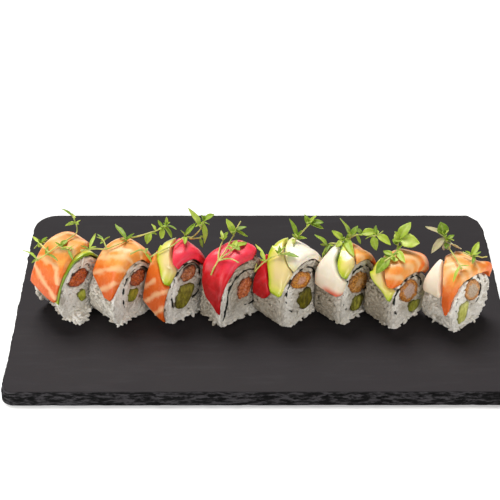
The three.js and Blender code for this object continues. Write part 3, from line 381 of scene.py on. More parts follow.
def unit(v):
    return v / np.maximum(np.linalg.norm(v, axis=-1, keepdims=True), 1e-9)


def run_of(line):
    """Length run along a line of points at each of them."""
    return np.append(0, np.cumsum(np.linalg.norm(np.diff(line, axis=0), axis=1)))


def along_line(line, count, closed=False):
    """Points spread evenly along a line."""
    run = run_of(line)
    at = np.linspace(0, run[-1], count, endpoint=not closed)
    return np.stack([np.interp(at, run, column) for column in line.T], 1)


def rows_at(rows, at, column):
    """A column of a table of rows, read smoothly at places along its first column."""
    x, y = np.array(rows, dtype=float)[:, [0, column]].T
    h = np.diff(x)
    d = np.diff(y) / h
    m = np.concatenate([d[:1], np.zeros(len(x) - 2), d[-1:]])
    for i in range(1, len(x) - 1):
        if d[i - 1] * d[i] > 0:
            w1 = 2 * h[i] + h[i - 1]
            w2 = h[i] + 2 * h[i - 1]
            m[i] = (w1 + w2) / (w1 / d[i - 1] + w2 / d[i])
    k = np.clip(np.searchsorted(x, at, side="right") - 1, 0, len(x) - 2)
    t = (at - x[k]) / h[k]
    ends = (1 + 2 * t) * (1 - t) ** 2 * y[k] + t * t * (3 - 2 * t) * y[k + 1]
    return ends + t * (1 - t) ** 2 * h[k] * m[k] + t * t * (t - 1) * h[k] * m[k + 1]


# Roll skins

# Points along each curve of a side, and half the step of arc that tells a direction
SIDE_POINTS = 240
ARC_STEP = 0.6
# Toppings thin out from this arc, or from this far before their tip, until this far past it, by this share
FADE_FROM = 14
FADE_BEFORE = 8
FADE_PAST = 4
FADE_SHARE = 0.86


def skin_table(roll):
    """Run, across and up along one side of a roll's outline, from the crown to the foot."""
    half, high = roll["width"] / 2, roll["height"]
    belt = roll.get("belt", BELT) * high
    t = np.pi / 2 * (1 - np.arange(SIDE_POINTS + 1) / SIDE_POINTS)
    power = 2 / roll["crown"]
    upper = np.stack([half * np.cos(t) ** power, belt + (high - belt) * np.sin(t) ** power], 1)
    t = np.pi / 2 * np.arange(1, SIDE_POINTS + 1) / SIDE_POINTS
    power = 2 / roll["foot"]
    lower = np.stack([half * np.maximum(np.cos(t), 0) ** power, belt - (belt + 1) * np.sin(t) ** power], 1)
    side = np.concatenate([upper, lower[lower[:, 1] > 0]])
    side[0] = (0, high)
    return run_of(side), side[:, 0], side[:, 1]


TABLES = {name: skin_table(roll) for name, roll in ROLLS.items()}


def far_arc(name):
    return TABLES[name][0][-1]


def plain(name, arc):
    run, xs, zs = TABLES[name]
    a = np.minimum(np.abs(arc), run[-1])
    z = np.interp(a, run, zs)
    return np.interp(a, run, xs) * np.sign(arc) + ROLLS[name]["lean"] * z, z


def skin(name, arc):
    """Across, up and the outward direction of the skin, at an arc from the crown."""
    x, z = plain(name, arc)
    xa, za = plain(name, arc - ARC_STEP)
    xb, zb = plain(name, arc + ARC_STEP)
    span = np.hypot(xb - xa, zb - za)
    return x, z, -(zb - za) / span, (xb - xa) / span


def place(name, x, depth, z):
    roll = ROLLS[name]
    x, depth, z = np.broadcast_arrays(x, depth, z)
    u, v = turned(x, depth, roll["turn"])
    return np.stack([roll["x"] + u, roll["y"] + v, SLATE_THICK + REST + z], -1)


def local(name, points):
    roll = ROLLS[name]
    x, depth = turned(points[..., 0] - roll["x"], points[..., 1] - roll["y"], -roll["turn"])
    return x, depth, points[..., 2] - SLATE_THICK - REST


def cover_at(name, arc):
    """Depth of the rice under the skin, where toppings lie on it."""
    roll = ROLLS[name]
    tip = np.where(arc < 0, roll.get("fade", roll["left"]), roll["right"])
    start = np.minimum(FADE_FROM, tip - FADE_BEFORE)
    fade = smooth((np.abs(arc) - start) / (tip - start + FADE_PAST))
    return np.maximum(RICE_EDGE, roll["cover"] * (1 - FADE_SHARE * fade))


# Meshes


def piece(name, points, faces, material, node, values=None, colours=None):
    """A smooth mesh piece in place of a CAD node, with numbers or colours kept on its points."""
    mesh = bpy.data.meshes.new(name)
    faces = [[int(i) for i in face] for face in faces]
    mesh.from_pydata((points * MM).tolist(), [], faces)
    mesh.update()
    triangles = [(f[0], f[i], f[i + 1]) for f in faces for i in range(1, len(f) - 1)]
    a, b, c = points[np.array(triangles).T]
    if np.einsum("ij,ij->i", a, np.cross(b, c)).sum() < 0:
        mesh.flip_normals()
    mesh.shade_smooth()
    for key, array in (values or {}).items():
        mesh.attributes.new(key, "FLOAT", "POINT").data.foreach_set("value", array.astype(np.float32))
    for key, array in (colours or {}).items():
        rgba = np.concatenate([array, np.ones((len(array), 1))], 1).astype(np.float32)
        mesh.attributes.new(key, "FLOAT_COLOR", "POINT").data.foreach_set("color", rgba.ravel())
    mesh.materials.append(material)
    obj = bpy.data.objects.new(name, mesh)
    scene.collection.objects.link(obj)
    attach(obj, "root")
    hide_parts(node)
    return obj


def shell(upper, lower, bulge):
    """A closed sheet from two grids of points, with its rim rounded outward."""
    rows, cols = upper.shape[:2]
    count = rows * cols
    index = np.arange(count).reshape(rows, cols)
    a, b = index[:-1, :-1].ravel(), index[:-1, 1:].ravel()
    c, d = index[1:, 1:].ravel(), index[1:, :-1].ravel()
    rim = np.concatenate([index[0, :], index[1:, -1], index[-1, -2::-1], index[-2:0:-1, 0]])
    near = index[np.clip(rim // cols, 1, rows - 2), np.clip(rim % cols, 1, cols - 2)]
    up, down = upper.reshape(-1, 3), lower.reshape(-1, 3)
    between = (up + down) / 2
    middle = between[rim] + unit(between[rim] - between[near]) * bulge
    mid = 2 * count + np.arange(len(rim))
    ahead, mid_ahead = np.roll(rim, -1), np.roll(mid, -1)
    corners = [
        (a, b, c, d),
        (a + count, d + count, c + count, b + count),
        (ahead, rim, mid, mid_ahead),
        (mid_ahead, mid, rim + count, ahead + count),
    ]
    faces = np.concatenate([np.stack(four, 1) for four in corners])
    spread = lambda grid: np.concatenate([grid.ravel(), grid.ravel(), grid.ravel()[rim]])
    return np.concatenate([up, down, middle]), faces, spread


def tube(rings, dome=0.0):
    """A closed bar from rings of points (rings, sides, 3), its ends closed by rounded lids."""
    count, sides = rings.shape[:2]
    index = np.arange(count * sides).reshape(count, sides)
    nxt = np.roll(index, -1, axis=1)
    faces = list(np.stack([index[:-1], nxt[:-1], nxt[1:], index[1:]], -1).reshape(-1, 4))
    tips = []
    for end, other in ((0, 1), (count - 1, count - 2)):
        middle = rings[end].mean(0)
        tip = np.full(sides, count * sides + len(tips))
        tips.append(middle + unit(middle - rings[other].mean(0)) * dome)
        first, second = (index[end], nxt[end]) if end else (nxt[end], index[end])
        faces.extend(np.stack([first, second, tip], -1))
    return np.concatenate([rings.reshape(-1, 3), tips]), faces


# Materials


def linear(code):
    """A colour written as six hex digits, as linear light."""
    parts = [int(code[i : i + 2], 16) / 255 for i in (0, 2, 4)]
    return tuple(p / 12.92 if p <= 0.04045 else ((p + 0.055) / 1.055) ** 2.4 for p in parts) + (1.0,)


class Paint:
    """A material made of nodes, with short names for the nodes used here. Colours may be hex codes."""

    def __init__(self, name, roughness, specular):
        self.material = bpy.data.materials.new(name)
        self.material.use_nodes = True
        self.tree = self.material.node_tree
        self.shader = self.tree.nodes["Principled BSDF"]
        self.put(self.shader, {"Roughness": roughness, "Specular IOR Level": specular})

    def put(self, node, values):
        for key, value in values.items():
            if isinstance(value, bpy.types.NodeSocket):
                self.tree.links.new(value, node.inputs[key])
            else:
                node.inputs[key].default_value = linear(value) if isinstance(value, str) else value

    def add(self, kind, values, **settings):
        node = self.tree.nodes.new("ShaderNode" + kind)
        for key, value in settings.items():
            setattr(node, key, value)
        self.put(node, values)
        return node

    def told(self, name, output="Fac"):
        """What the mesh keeps on its points under that name."""
        return self.add("Attribute", {}, attribute_name=name).outputs[output]

    def grain(self, size, detail=3.0, rough=0.5, stretch=None):
        """Noise from 0 to 1 with lumps of that size in millimetres."""
        spot = self.add("TexCoord", {}).outputs["Object"]
        if stretch:
            spot = self.add("Mapping", {"Vector": spot, "Scale": stretch}).outputs["Vector"]
        values = {"Vector": spot, "Scale": 1000.0 / size, "Detail": detail, "Roughness": rough}
        return self.add("TexNoise", values).outputs["Fac"]

    def math(self, kind, a, b, c=0.0):
        return self.add("Math", {0: a, 1: b, 2: c}, operation=kind).outputs[0]

    def span(self, value, low, high, start=0.0, end=1.0):
        values = {"Value": value, "From Min": low, "From Max": high, "To Min": start, "To Max": end}
        return self.add("MapRange", values, interpolation_type="SMOOTHSTEP").outputs["Result"]

    def mix(self, factor, a, b):
        return self.add("Mix", {0: factor, 6: a, 7: b}, data_type="RGBA").outputs[2]

    def ramp(self, value, stops):
        node = self.add("ValToRGB", {"Fac": value})
        elements = node.color_ramp.elements
        while len(elements) < len(stops):
            elements.new(0.5)
        for element, (at, code) in zip(elements, stops):
            element.position = at
            element.color = linear(code)
        return node.outputs["Color"]

    def finish(self, colour, height=None, depth=0.0, strength=0.5, flesh=None, coat=0.0):
        """Colour, bumps of that depth in millimetres, and flesh as share, reach of each colour and depth."""
        self.put(self.shader, {"Base Color": colour})
        if height:
            bump = self.add("Bump", {"Height": height, "Distance": depth * MM, "Strength": strength})
            self.put(self.shader, {"Normal": bump.outputs["Normal"]})
        if flesh:
            share, reach, below = flesh
            names = ("Subsurface Weight", "Subsurface Radius", "Subsurface Scale")
            self.put(self.shader, dict(zip(names, (share, reach, below * MM))))
        if coat:
            self.put(self.shader, {"Coat Weight": coat, "Coat Roughness": 0.12})
        return self.material


def slate_paint():
    p = Paint("slate", 0.72, 0.12)
    cloud = p.grain(60, 3, 0.55, (1, 1.8, 1))
    fine = p.grain(1.2, 4, 0.6)
    streak = p.grain(9, 4, 0.6, (0.25, 1.6, 1.6))
    flake = p.grain(3.2, 5, 0.65, (0.5, 0.5, 2.2))
    side = p.told("side")
    top = p.mix(cloud, "272426", "333033")
    top = p.mix(p.span(streak, 0.5, 0.75, 0, 0.25), top, "3a383b")
    rough = p.mix(p.span(flake, 0.45, 0.6), "050506", "3c3a3d")
    p.put(p.shader, {"Roughness": p.span(cloud, 0.3, 0.7, 0.66, 0.78)})
    return p.finish(p.mix(side, top, rough), p.mix(side, p.mix(0.5, fine, streak), flake), 0.4)


def rice_paint():
    p = Paint("rice", 0.36, 0.5)
    # The told shade runs from the dark tone to the light one: painted light and painted shade on the grains,
    # and painted shade on the middle between them
    colour = p.mix(p.told("shade"), "968a76", "fffaf0")
    colour = p.mix(p.span(p.grain(1.8), 0.4, 0.75, 0, 0.35), colour, "ece0cc")
    return p.finish(colour, p.grain(0.9), 0.05, 0.5, (0.2, (1.0, 0.85, 0.7), 1.2), 0.12)


def nori_paint():
    p = Paint("nori", 0.5, 0.4)
    fleck = p.grain(0.8, 4, 0.65)
    return p.finish(p.mix(p.span(fleck, 0.4, 0.7), "11140f", "2c3324"), fleck, 0.1, 0.7)


def inner_paint(name, roughness, lumps, edges, bump, flesh):
    """The two tones kept on the points, mixed by lumps."""
    p = Paint(name, roughness, 0.5)
    grain = p.grain(*lumps)
    colour = p.mix(p.span(grain, *edges), p.told("tint", "Color"), p.told("tint2", "Color"))
    return p.finish(colour, grain, *bump, flesh, 0.15)


def avocado_paint():
    p = Paint("avocado_slice", 0.3, 0.5)
    rim = p.math("ADD", p.told("rim"), p.math("MULTIPLY_ADD", p.grain(4, 2), 1.6, -0.8))
    stops = [(0.0, "76981a"), (0.1, "a4bc18"), (0.24, "c8d22a"), (0.46, "e4dc68"), (1.0, "eed896")]
    colour = p.ramp(p.math("DIVIDE", rim, 8.0), stops)
    return p.finish(colour, p.grain(2.2), 0.08, 0.5, (0.25, (0.8, 1.0, 0.3), 1.6), 0.3)


def fish_paint(name, tones, line, strength, width, roughness):
    """Flesh from foot to crown in three tones, painted shade low toward the foot and painted light at the
    crown, with lines told by the value fat, the distance in mm.
    """
    p = Paint(name, roughness, 0.32)
    near = p.math("ADD", p.told("fat"), p.math("MULTIPLY_ADD", p.grain(5), 1.6, -0.8))
    wide = p.span(p.grain(6, 2), 0.35, 0.65, width * 0.7, width * 1.5)
    mark = p.span(p.math("DIVIDE", near, wide), 0.0, 1.3, 1.0, 0.0)
    tone = p.math("MULTIPLY_ADD", p.grain(6), 0.8, -0.4)
    flesh = p.ramp(p.math("ADD", tone, p.told("shade")), list(zip((0.0, 0.62, 1.0), tones)))
    flesh = p.mix(p.span(p.grain(0.9, 3, 0.6, (1, 1, 0.4)), 0.45, 0.75, 0, 0.1), flesh, line)
    colour = p.mix(p.math("MULTIPLY", mark, strength), flesh, line)
    colour = p.mix(p.told("blood"), colour, "e0481e")
    colour = p.mix(p.told("seam"), colour, "e6e07c")
    height = p.math("MULTIPLY_ADD", mark, 0.5, p.grain(2.2))
    return p.finish(colour, height, 0.16, 0.5, (0.2, (1.0, 0.3, 0.1), 2.0), 0.04)


def leaf_paint():
    p = Paint("cress_leaf", 0.5, 0.4)
    vein = p.told("vein")
    tone = p.math("ADD", p.told("shade"), p.math("MULTIPLY_ADD", p.grain(2.4), 0.5, -0.25))
    colour = p.ramp(tone, [(0.0, "4a6a16"), (0.4, "84a222"), (0.75, "b4c83e"), (1.0, "d4e078")])
    colour = p.mix(p.math("MULTIPLY", p.told("under"), 0.35), colour, "c3cc9a")
    colour = p.mix(p.told("blush"), colour, "cdb5a4")
    colour = p.mix(p.math("MULTIPLY", vein, 0.35), colour, "c6d67c")
    return p.finish(colour, p.math("ADD", p.grain(0.7), vein), 0.06, 0.5, (0.18, (0.5, 1.0, 0.2), 0.6))


def stem_paint():
    p = Paint("cress_stem", 0.42, 0.45)
    colour = p.mix(p.span(p.grain(6), 0.3, 0.7), "a3b24c", "ddd27e")
    return p.finish(colour, p.grain(0.5), 0.04, 0.5, (0.15, (0.8, 1.0, 0.3), 0.6))


def floor_paint():
    p = Paint("table", 0.9, 0.1)
    p.put(p.shader, {"Emission Color": (1, 1, 1, 1), "Emission Strength": 0.25})
    return p.finish(p.mix(p.grain(400, 2), (0.88, 0.88, 0.88, 1), (0.92, 0.92, 0.92, 1)))


SLATE = slate_paint()
RICE = rice_paint()
NORI = nori_paint()
SHRIMP = inner_paint("shrimp", 0.42, (1.0, 4, 0.65), (0.38, 0.62), (0.22, 0.8), (0.12, (1.0, 0.4, 0.15), 1.0))
CORE = inner_paint(
    "avocado_core", 0.34, (1.9, 4, 0.6, (1, 1, 0.5)), (0.38, 0.64), (0.2, 0.6), (0.2, (0.7, 1.0, 0.2), 1.4)
)
LEAF = leaf_paint()
STEM = stem_paint()
# Fish tones from foot to crown: the dark foot tone is painted shade, the light crown tone painted light
FLESH = {
    "salmon": fish_paint("salmon", ("d85a10", "f07416", "f9a64e"), "fdd4a0", 0.66, 1.9, 0.4),
    "tuna": fish_paint("tuna", ("a80004", "e4081a", "f64056"), "ee5864", 0.08, 0.7, 0.4),
    "whitefish": fish_paint("whitefish", ("f2dcbe", "faead2", "fff4e2"), "fff6ea", 0.15, 0.8, 0.34),
    "avocado": avocado_paint(),
}


# Slate

# Heights of the rings up the rough edge
EDGE_RINGS = (0, 0.5, 1.3, 2.3, 3.3, 4.3, 5.3, 6.3, 7.2, 7.9, 8.4, 8.75, 9.0)
# How far the edge stands out and how rough it is, by height
EDGE_OUT = ([0, 1.8, 5.2, 7.6, 8.4, 9.0], [1.6, 2.1, 1.1, 0.5, 0.3, 0.0])
EDGE_ROUGH = ([0, 0.7, 6.4, 7.9, 8.4, 9.0], [0.3, 1.0, 1.0, 0.5, 0.16, 0.12])
# Share of the rough look, by height
EDGE_LOOK = ([0, 8.4, 8.9], [1, 1, 0.25])
# Flakes: depth, steps, size and seed of each layer; the same for the fine layer, without steps
FLAKES = ((0.75, 2.2, 7.5, 3), (0.5, 2, 3.2, 4))
FINE_FLAKES = (0.2, 1.3, 5)
FLAKE_TALL = 2.4
# How far the flakes are set back, and how far in and out they may go
EDGE_BACK = 0.35
EDGE_LIMITS = (-2.2, 1.3)
# Points round the plate, how far the underside is drawn in, and sizes of the rings on the top
EDGE_POINTS = 760
BASE_IN = 2.0
TOP_RINGS = (0.994, 0.97, 0.9, 0.7, 0.4)


def slate_outline():
    hx, hy = SLATE_LENGTH / 2, SLATE_DEPTH / 2

    def corner(side, end, start, r):
        a = np.radians(start + np.arange(9) * 11.25)
        return np.stack([side * (hx - r) + r * np.cos(a), end * (hy - r) + r * np.sin(a)], 1)

    clip = [(hx, hy - SLATE_CLIP * 1.5), (hx - 2.2, hy - SLATE_CLIP * 0.62), (hx - SLATE_CLIP * 0.8, hy)]
    front_right = corner(1, -1, -90, SLATE_FRONT_CORNER)
    back_left = corner(-1, 1, 90, SLATE_BACK_CORNER)
    front_left = corner(-1, -1, 180, SLATE_FRONT_CORNER)
    ring = np.concatenate([front_right, clip, back_left, front_left, front_right[:1]])
    return along_line(ring, EDGE_POINTS, closed=True)


def build_slate():
    outline = slate_outline()
    ahead = np.roll(outline, -1, 0) - np.roll(outline, 1, 0)
    out = unit(np.stack([ahead[:, 1], -ahead[:, 0]], 1))
    rings = []
    for z in EDGE_RINGS:
        spot = np.insert(outline, 2, z * FLAKE_TALL, axis=1)
        layers = [deep * np.round(steps * noise(spot, *lumps)) / steps for deep, steps, *lumps in FLAKES]
        flake = sum(layers) + FINE_FLAKES[0] * noise(spot, *FINE_FLAKES[1:])
        push = np.interp(z, *EDGE_OUT) - EDGE_BACK + flake * np.interp(z, *EDGE_ROUGH)
        push = np.clip(push, *EDGE_LIMITS)
        rings.append(np.insert(outline + out * push[:, None], 2, z, axis=1))
    base = rings[0].copy()
    base[:, :2] -= out * BASE_IN
    inner = [rings[-1] * (shrink, shrink, 1) for shrink in TOP_RINGS]
    stack = np.array([base] + rings + inner)
    points, faces = tube(stack)
    points[-2:] = [(0, 0, 0), (0, 0, SLATE_THICK)]
    share = np.interp(stack[:, :, 2], *EDGE_LOOK)
    share[-len(inner) :] = 0
    side = np.append(share.ravel(), [0, 0])
    obj = piece("slate_plate", points, faces, SLATE, "slate", {"side": side})
    smooth_from = (len(stack) - len(inner) - 1) * EDGE_POINTS
    obj.data.polygons.foreach_set("use_smooth", np.arange(len(faces)) >= smooth_from)


# Shapes inside the rolls, as outlines on the cut face

# Nori: how far its inner end curls in, the share where that starts and over which it grows, and the height
# and size of its waves
NORI_CURL = 0.3
NORI_CURL_FROM = 0.84
NORI_CURL_SPAN = 0.2
NORI_WAVE = 0.22
NORI_WAVE_SIZE = 3.2
# Patches where the nori shows: contrast, size and seed
BARE_CONTRAST = 1.6
BARE_SIZE = 2.6
BARE_SEED = 7
# Shrimp: lumps round it, and height, size and seed of the bumps on them
SHRIMP_LUMPS = 12
SHRIMP_BUMPS = ((0.07, 2.2, 2), (0.05, 0.8, 3))
# Avocado: power of its outline, how much narrower its foot is, and height, size and seed of its waves
CORE_POWER = 0.62
CORE_TAPER = 0.14
CORE_WAVE = (0.25, 3, 8)
# Bars through the roll: depth of the first and last plain ring under the cut, and how many there are
BAR_UNDER = 0.8
BAR_RINGS = 6


def leaned(name, x, z):
    return np.stack([x + ROLLS[name]["lean"] * z, z], -1)


def spot_of(u, v, seed):
    """Places on a cut or an outline, with the seed as the third measure."""
    return np.stack([u, v, np.full(len(u), float(seed))], 1)


def nori_line(name, count=72):
    roll = ROLLS[name]
    nori = roll["nori"]
    t = np.linspace(0, 1, count)
    start, end = nori["ends"]
    a = np.radians(start + (end - start) * t)
    curl = 1 - NORI_CURL * smooth((t - NORI_CURL_FROM) / NORI_CURL_SPAN)
    bent = lambda v: np.sign(v) * np.abs(v) ** nori["square"]
    u, v = nori["rx"] * curl * bent(np.cos(a)), nori["rz"] * curl * bent(np.sin(a))
    u, v = turned(u, v, nori.get("tilt", 0))
    curve = np.stack([nori["x"] + u, nori["z"] + v], 1)
    x, z = along_line(np.concatenate([np.reshape(nori.get("tail", []), (-1, 2)), curve]), count).T
    ends = np.interp(t, [0, 0.1, 0.9, 1], [0, 1, 1, 0])
    wave = NORI_WAVE * noise(spot_of(x, z, roll["seed"]), NORI_WAVE_SIZE, roll["seed"]) * ends
    way = unit(np.stack([np.gradient(x), np.gradient(z)], 1))
    return leaned(name, x - way[:, 1] * wave, z + way[:, 0] * wave)


def bare_at(name, spots):
    """How far the nori shows at spots of the cut, from 0 under grains to 1."""
    patches = noise(spot_of(spots[:, 0], spots[:, 1], BARE_SEED), BARE_SIZE, ROLLS[name]["seed"])
    return smooth(BARE_CONTRAST * NORI_SHOWS[name[-1]] - 0.3 + BARE_CONTRAST * patches)


def shrimp_outline(name, count=90):
    roll = ROLLS[name]
    x, z, rx, rz, tilt = roll["shrimp"]
    draw = seeded(roll["seed"] + 5)
    lumps = [0.9 + 0.1 * draw() for _ in range(SHRIMP_LUMPS)]
    a = np.arange(count) / count * 2 * np.pi
    spot = spot_of(np.cos(a) * 6, np.sin(a) * 6, roll["seed"] * 3)
    lump = np.interp(a / (2 * np.pi) * SHRIMP_LUMPS, np.arange(SHRIMP_LUMPS + 1), lumps + lumps[:1])
    lump = lump * sum((high * noise(spot, size, seed) for high, size, seed in SHRIMP_BUMPS), 1)
    u, v = turned(rx * lump * np.cos(a), rz * lump * np.sin(a), tilt)
    return leaned(name, x + u, z + v)


def core_outline(name, count=44):
    x, z, wide, high, tilt = ROLLS[name]["avocado"]
    a = np.arange(count) / count * 2 * np.pi
    u, v = (np.sign(w) * np.abs(w) ** CORE_POWER for w in (np.cos(a), np.sin(a)))
    u, v = u * wide / 2 * (1 - CORE_TAPER + CORE_TAPER * v), v * high / 2
    span = np.hypot(u, v)
    spot = spot_of(np.cos(a) * 5, np.sin(a) * 5, ROLLS[name]["seed"] * 1.7)
    wave, size, seed = CORE_WAVE
    scale = (span + wave * noise(spot, size, seed) - 0.1) / span
    u, v = turned(u * scale, v * scale, tilt)
    return leaned(name, x + u, z + v)


def inside(points, outline):
    x, z = points[:, 0][:, None], points[:, 1][:, None]
    x1, z1 = outline.T
    x2, z2 = np.roll(x1, -1), np.roll(z1, -1)
    cross = (z1 > z) != (z2 > z)
    at = x1 + (z - z1) / np.where(z2 == z1, 1e-9, z2 - z1) * (x2 - x1)
    return (np.sum(cross & (x < at), axis=1) % 2).astype(bool)


def nearest(points, line, closed=True):
    """Distance from points to a line, and the line's direction there."""
    a, b = (line, np.roll(line, -1, 0)) if closed else (line[:-1], line[1:])
    ab = b - a
    t = np.clip(((points[:, None] - a) * ab).sum(-1) / np.maximum((ab**2).sum(-1), 1e-9), 0, 1)
    gap = np.linalg.norm(points[:, None] - (a + ab * t[..., None]), axis=-1)
    k = gap.argmin(1)
    return gap[np.arange(len(points)), k], unit(ab[k])


# Rice and nori

# Half thickness of the nori, and how much thicker it is where it shows
NORI_HALF = 0.2
NORI_SWELL = 0.16
# How much of the nori shows on each cut
NORI_SHOWS = {"1": 0.15, "2": 0.5, "3": 0.5, "4": 0.9, "5": 0.7, "6": 0.4, "7": 0.6, "8": 0.6}
# How light the rice of each roll is painted, as painted light and painted shade for the light each roll gets,
# and how far its left flank darkens toward its neighbour, as painted shade from it
RICE_PAINTED_LIGHT_AND_SHADE = {"1": 1.0, "2": 0.95, "3": 0.6, "4": 0.3, "5": 0.6, "6": 0.55, "7": 0.55, "8": 1.05}
RICE_PAINTED_SHADE = {"5": 0.65, "6": 0.85, "7": 0.9}
# Tone of a grain at random, how far left of the middle the painted shade starts and over what width it grows
GRAIN_TONE = (0.3, 0.85)
SHADE_FROM = 9
SHADE_WIDTH = 6
# Painted light on the grains: by how much, how far round the front corner, and how high and deep at the front
FRONT_PAINTED_LIGHT = 0.8
CORNER_REACH = 8
LOW_REACH = 16
FRONT_REACH = 5
# Grains: least and greatest length, width and thickness, places of the rings along a half and sides
GRAIN_LONG = (5.2, 7.0)
GRAIN_WIDE = (2.2, 2.8)
GRAIN_THICK = (1.8, 2.2)
GRAIN_RINGS = np.array([-0.95, -0.7, -0.26, 0.26, 0.7, 0.95])
GRAIN_SIDES = 7
# Spacing of the grains across and up a cut, and round and along the skin
CUT_STEPS = (2.25, 2.0)
SKIN_STEPS = (2.2, 2.35)
# Least distance of a grain's middle from the skin, the nori and what lies in the roll, and how far from
# them grains still lie along them
CUT_GAPS = (0.75, 0.95, 0.55)
CUT_ALONG = 2.4
# How far grains are drawn from their places in the pattern, and how far every other row is moved on
SCATTER = 0.6
STAGGER = 1.1
# How far grains stay from the edge of a slice, and how far past it they lie lower
UNDER_SLICE = 3.0
BESIDE_SLICE = 1.2
# Loose grains at the foot, count and size, and more and larger ones at some of the rolls
LOOSE = (44, 0.95)
LOOSE_MORE = (64, 1.12)
LOOSE_MORE_AT = "128"
SPILT = 170
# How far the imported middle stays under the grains, from the skin and from the cuts
CORE_UNDER = 1.25
CORE_ENDS = 1.15
UP = np.array([0.0, 0.0, 1.0])
# Points along the outline of the rice, and how near a cut an edge of a slice counts as lying on it
OUTLINE_POINTS = 150
ON_CUT = 0.6


def rice_outline(name, extra):
    far = far_arc(name)
    arc = np.linspace(-far, far, OUTLINE_POINTS)
    x, z, nx, nz = skin(name, arc)
    inset = cover_at(name, arc) + extra
    return np.stack([x - nx * inset, np.maximum(z - nz * inset, 0)], 1)


def covered(name, arc, depth, margin):
    """Whether a slice lies over each place of the skin, at least a margin inside its edge."""
    hidden = np.zeros(arc.shape, dtype=bool)
    for slice_name, rows in SLICES.items():
        if slice_name[-1] == name[-1]:
            at, near, far = np.array(rows, dtype=float).T
            near, far = np.interp(arc, at, near), np.interp(arc, at, far)
            near = np.where(near <= ON_CUT, near, near + margin)
            far = np.where(far >= ROLLS[name]["length"] - ON_CUT, far, far - margin)
            hidden |= (arc > at[0] + margin) & (arc < at[-1] - margin) & (depth > near) & (depth < far)
    return hidden


def grain_points(rng, middle, along, out, length, width, thick):
    """Grains of rice as seven-sided lofts, all with the same count of points."""
    n = len(middle)
    side = unit(np.cross(out, along))
    out = unit(np.cross(along, side))
    a = np.arange(GRAIN_SIDES) / GRAIN_SIDES * 2 * np.pi
    bend = rng.uniform(-0.5, 0.5, n)
    bulge = 1 + rng.normal(0, 0.06, (n, 6, 1))
    wide = (1 - np.abs(GRAIN_RINGS) ** 2.3) ** 0.5
    us = GRAIN_RINGS[None, :, None] * length[:, None, None] / 2
    rs = wide[None, :, None] * bulge
    ys = rs * np.cos(a) * width[:, None, None] / 2 + (bend[:, None] * (GRAIN_RINGS**2)[None, :])[:, :, None]
    zs = rs * np.sin(a) * thick[:, None, None] / 2
    ring = middle[:, None, None]
    for way, share in ((along, us), (side, ys), (out, zs)):
        ring = ring + way[:, None, None] * share[..., None]
    tips = [middle + along * (k * length / 2)[:, None] + side * bend[:, None] for k in (-1, 1)]
    return np.concatenate([ring.reshape(n, -1, 3), np.stack(tips, 1)], 1)


def grain_faces():
    sides, last = GRAIN_SIDES, GRAIN_SIDES * (len(GRAIN_RINGS) - 1)
    ring = [(i, (i + 1) % sides) for i in range(sides)]
    faces = [(k + i, k + j, k + sides + j, k + sides + i) for k in range(0, last, sides) for i, j in ring]
    for i, j in ring:
        faces.extend([(last + sides, j, i), (last + sides + 1, last + i, last + j)])
    return faces


def tucked(name, arc, depth):
    """How far the foot of the left flank is drawn in toward the back."""
    roll = ROLLS[name]
    return roll.get("tuck", 0) * smooth((-arc - 34) / 10) * smooth(depth / roll["length"] * 1.2)


def feet(name):
    far = far_arc(name)
    return plain(name, -far)[0], plain(name, far)[0]


def grain_tone(name, grains, some):
    """How light each grain is: painted shade on a shaded flank, painted light low at the front and at the
    front corner.
    """
    number = name[-1]
    x, depth, z = grains.mean(1).T
    # Painted shade on the left flank, where the neighbouring roll shades it
    flank_painted_shade = smooth((-x - SHADE_FROM) / SHADE_WIDTH) * RICE_PAINTED_SHADE.get(number, 0)
    # Painted light at the front corner and low at the front of the roll
    corner = smooth(1 - np.hypot(x - feet(name)[0], depth) / CORNER_REACH)
    low = smooth(1 - z / LOW_REACH) * smooth(1 - depth / FRONT_REACH)
    tone = some(*GRAIN_TONE, len(grains)) * RICE_PAINTED_LIGHT_AND_SHADE[number] * (1 - flank_painted_shade)
    return np.minimum(tone + FRONT_PAINTED_LIGHT * np.maximum(corner, low), 1)


def packed_middle(name):
    """The body of rice under the grains."""
    length, far = ROLLS[name]["length"], far_arc(name)
    rings = []
    for deep in CORE_ENDS + np.array([0.0, 0.3, 0.7, 1.0]) * (length - 2 * CORE_ENDS):
        arc = np.linspace(-far, far, OUTLINE_POINTS)
        flats = rice_outline(name, CORE_UNDER + tucked(name, arc, deep))
        foot = np.stack([np.linspace(flats[-1, 0], flats[0, 0], 12)[1:-1], np.full(10, 0.5)], 1)
        flats = np.concatenate([flats, foot])
        rings.append(place(name, flats[:, 0], deep, np.maximum(flats[:, 1], 0.4)))
    return tube(np.array(rings))


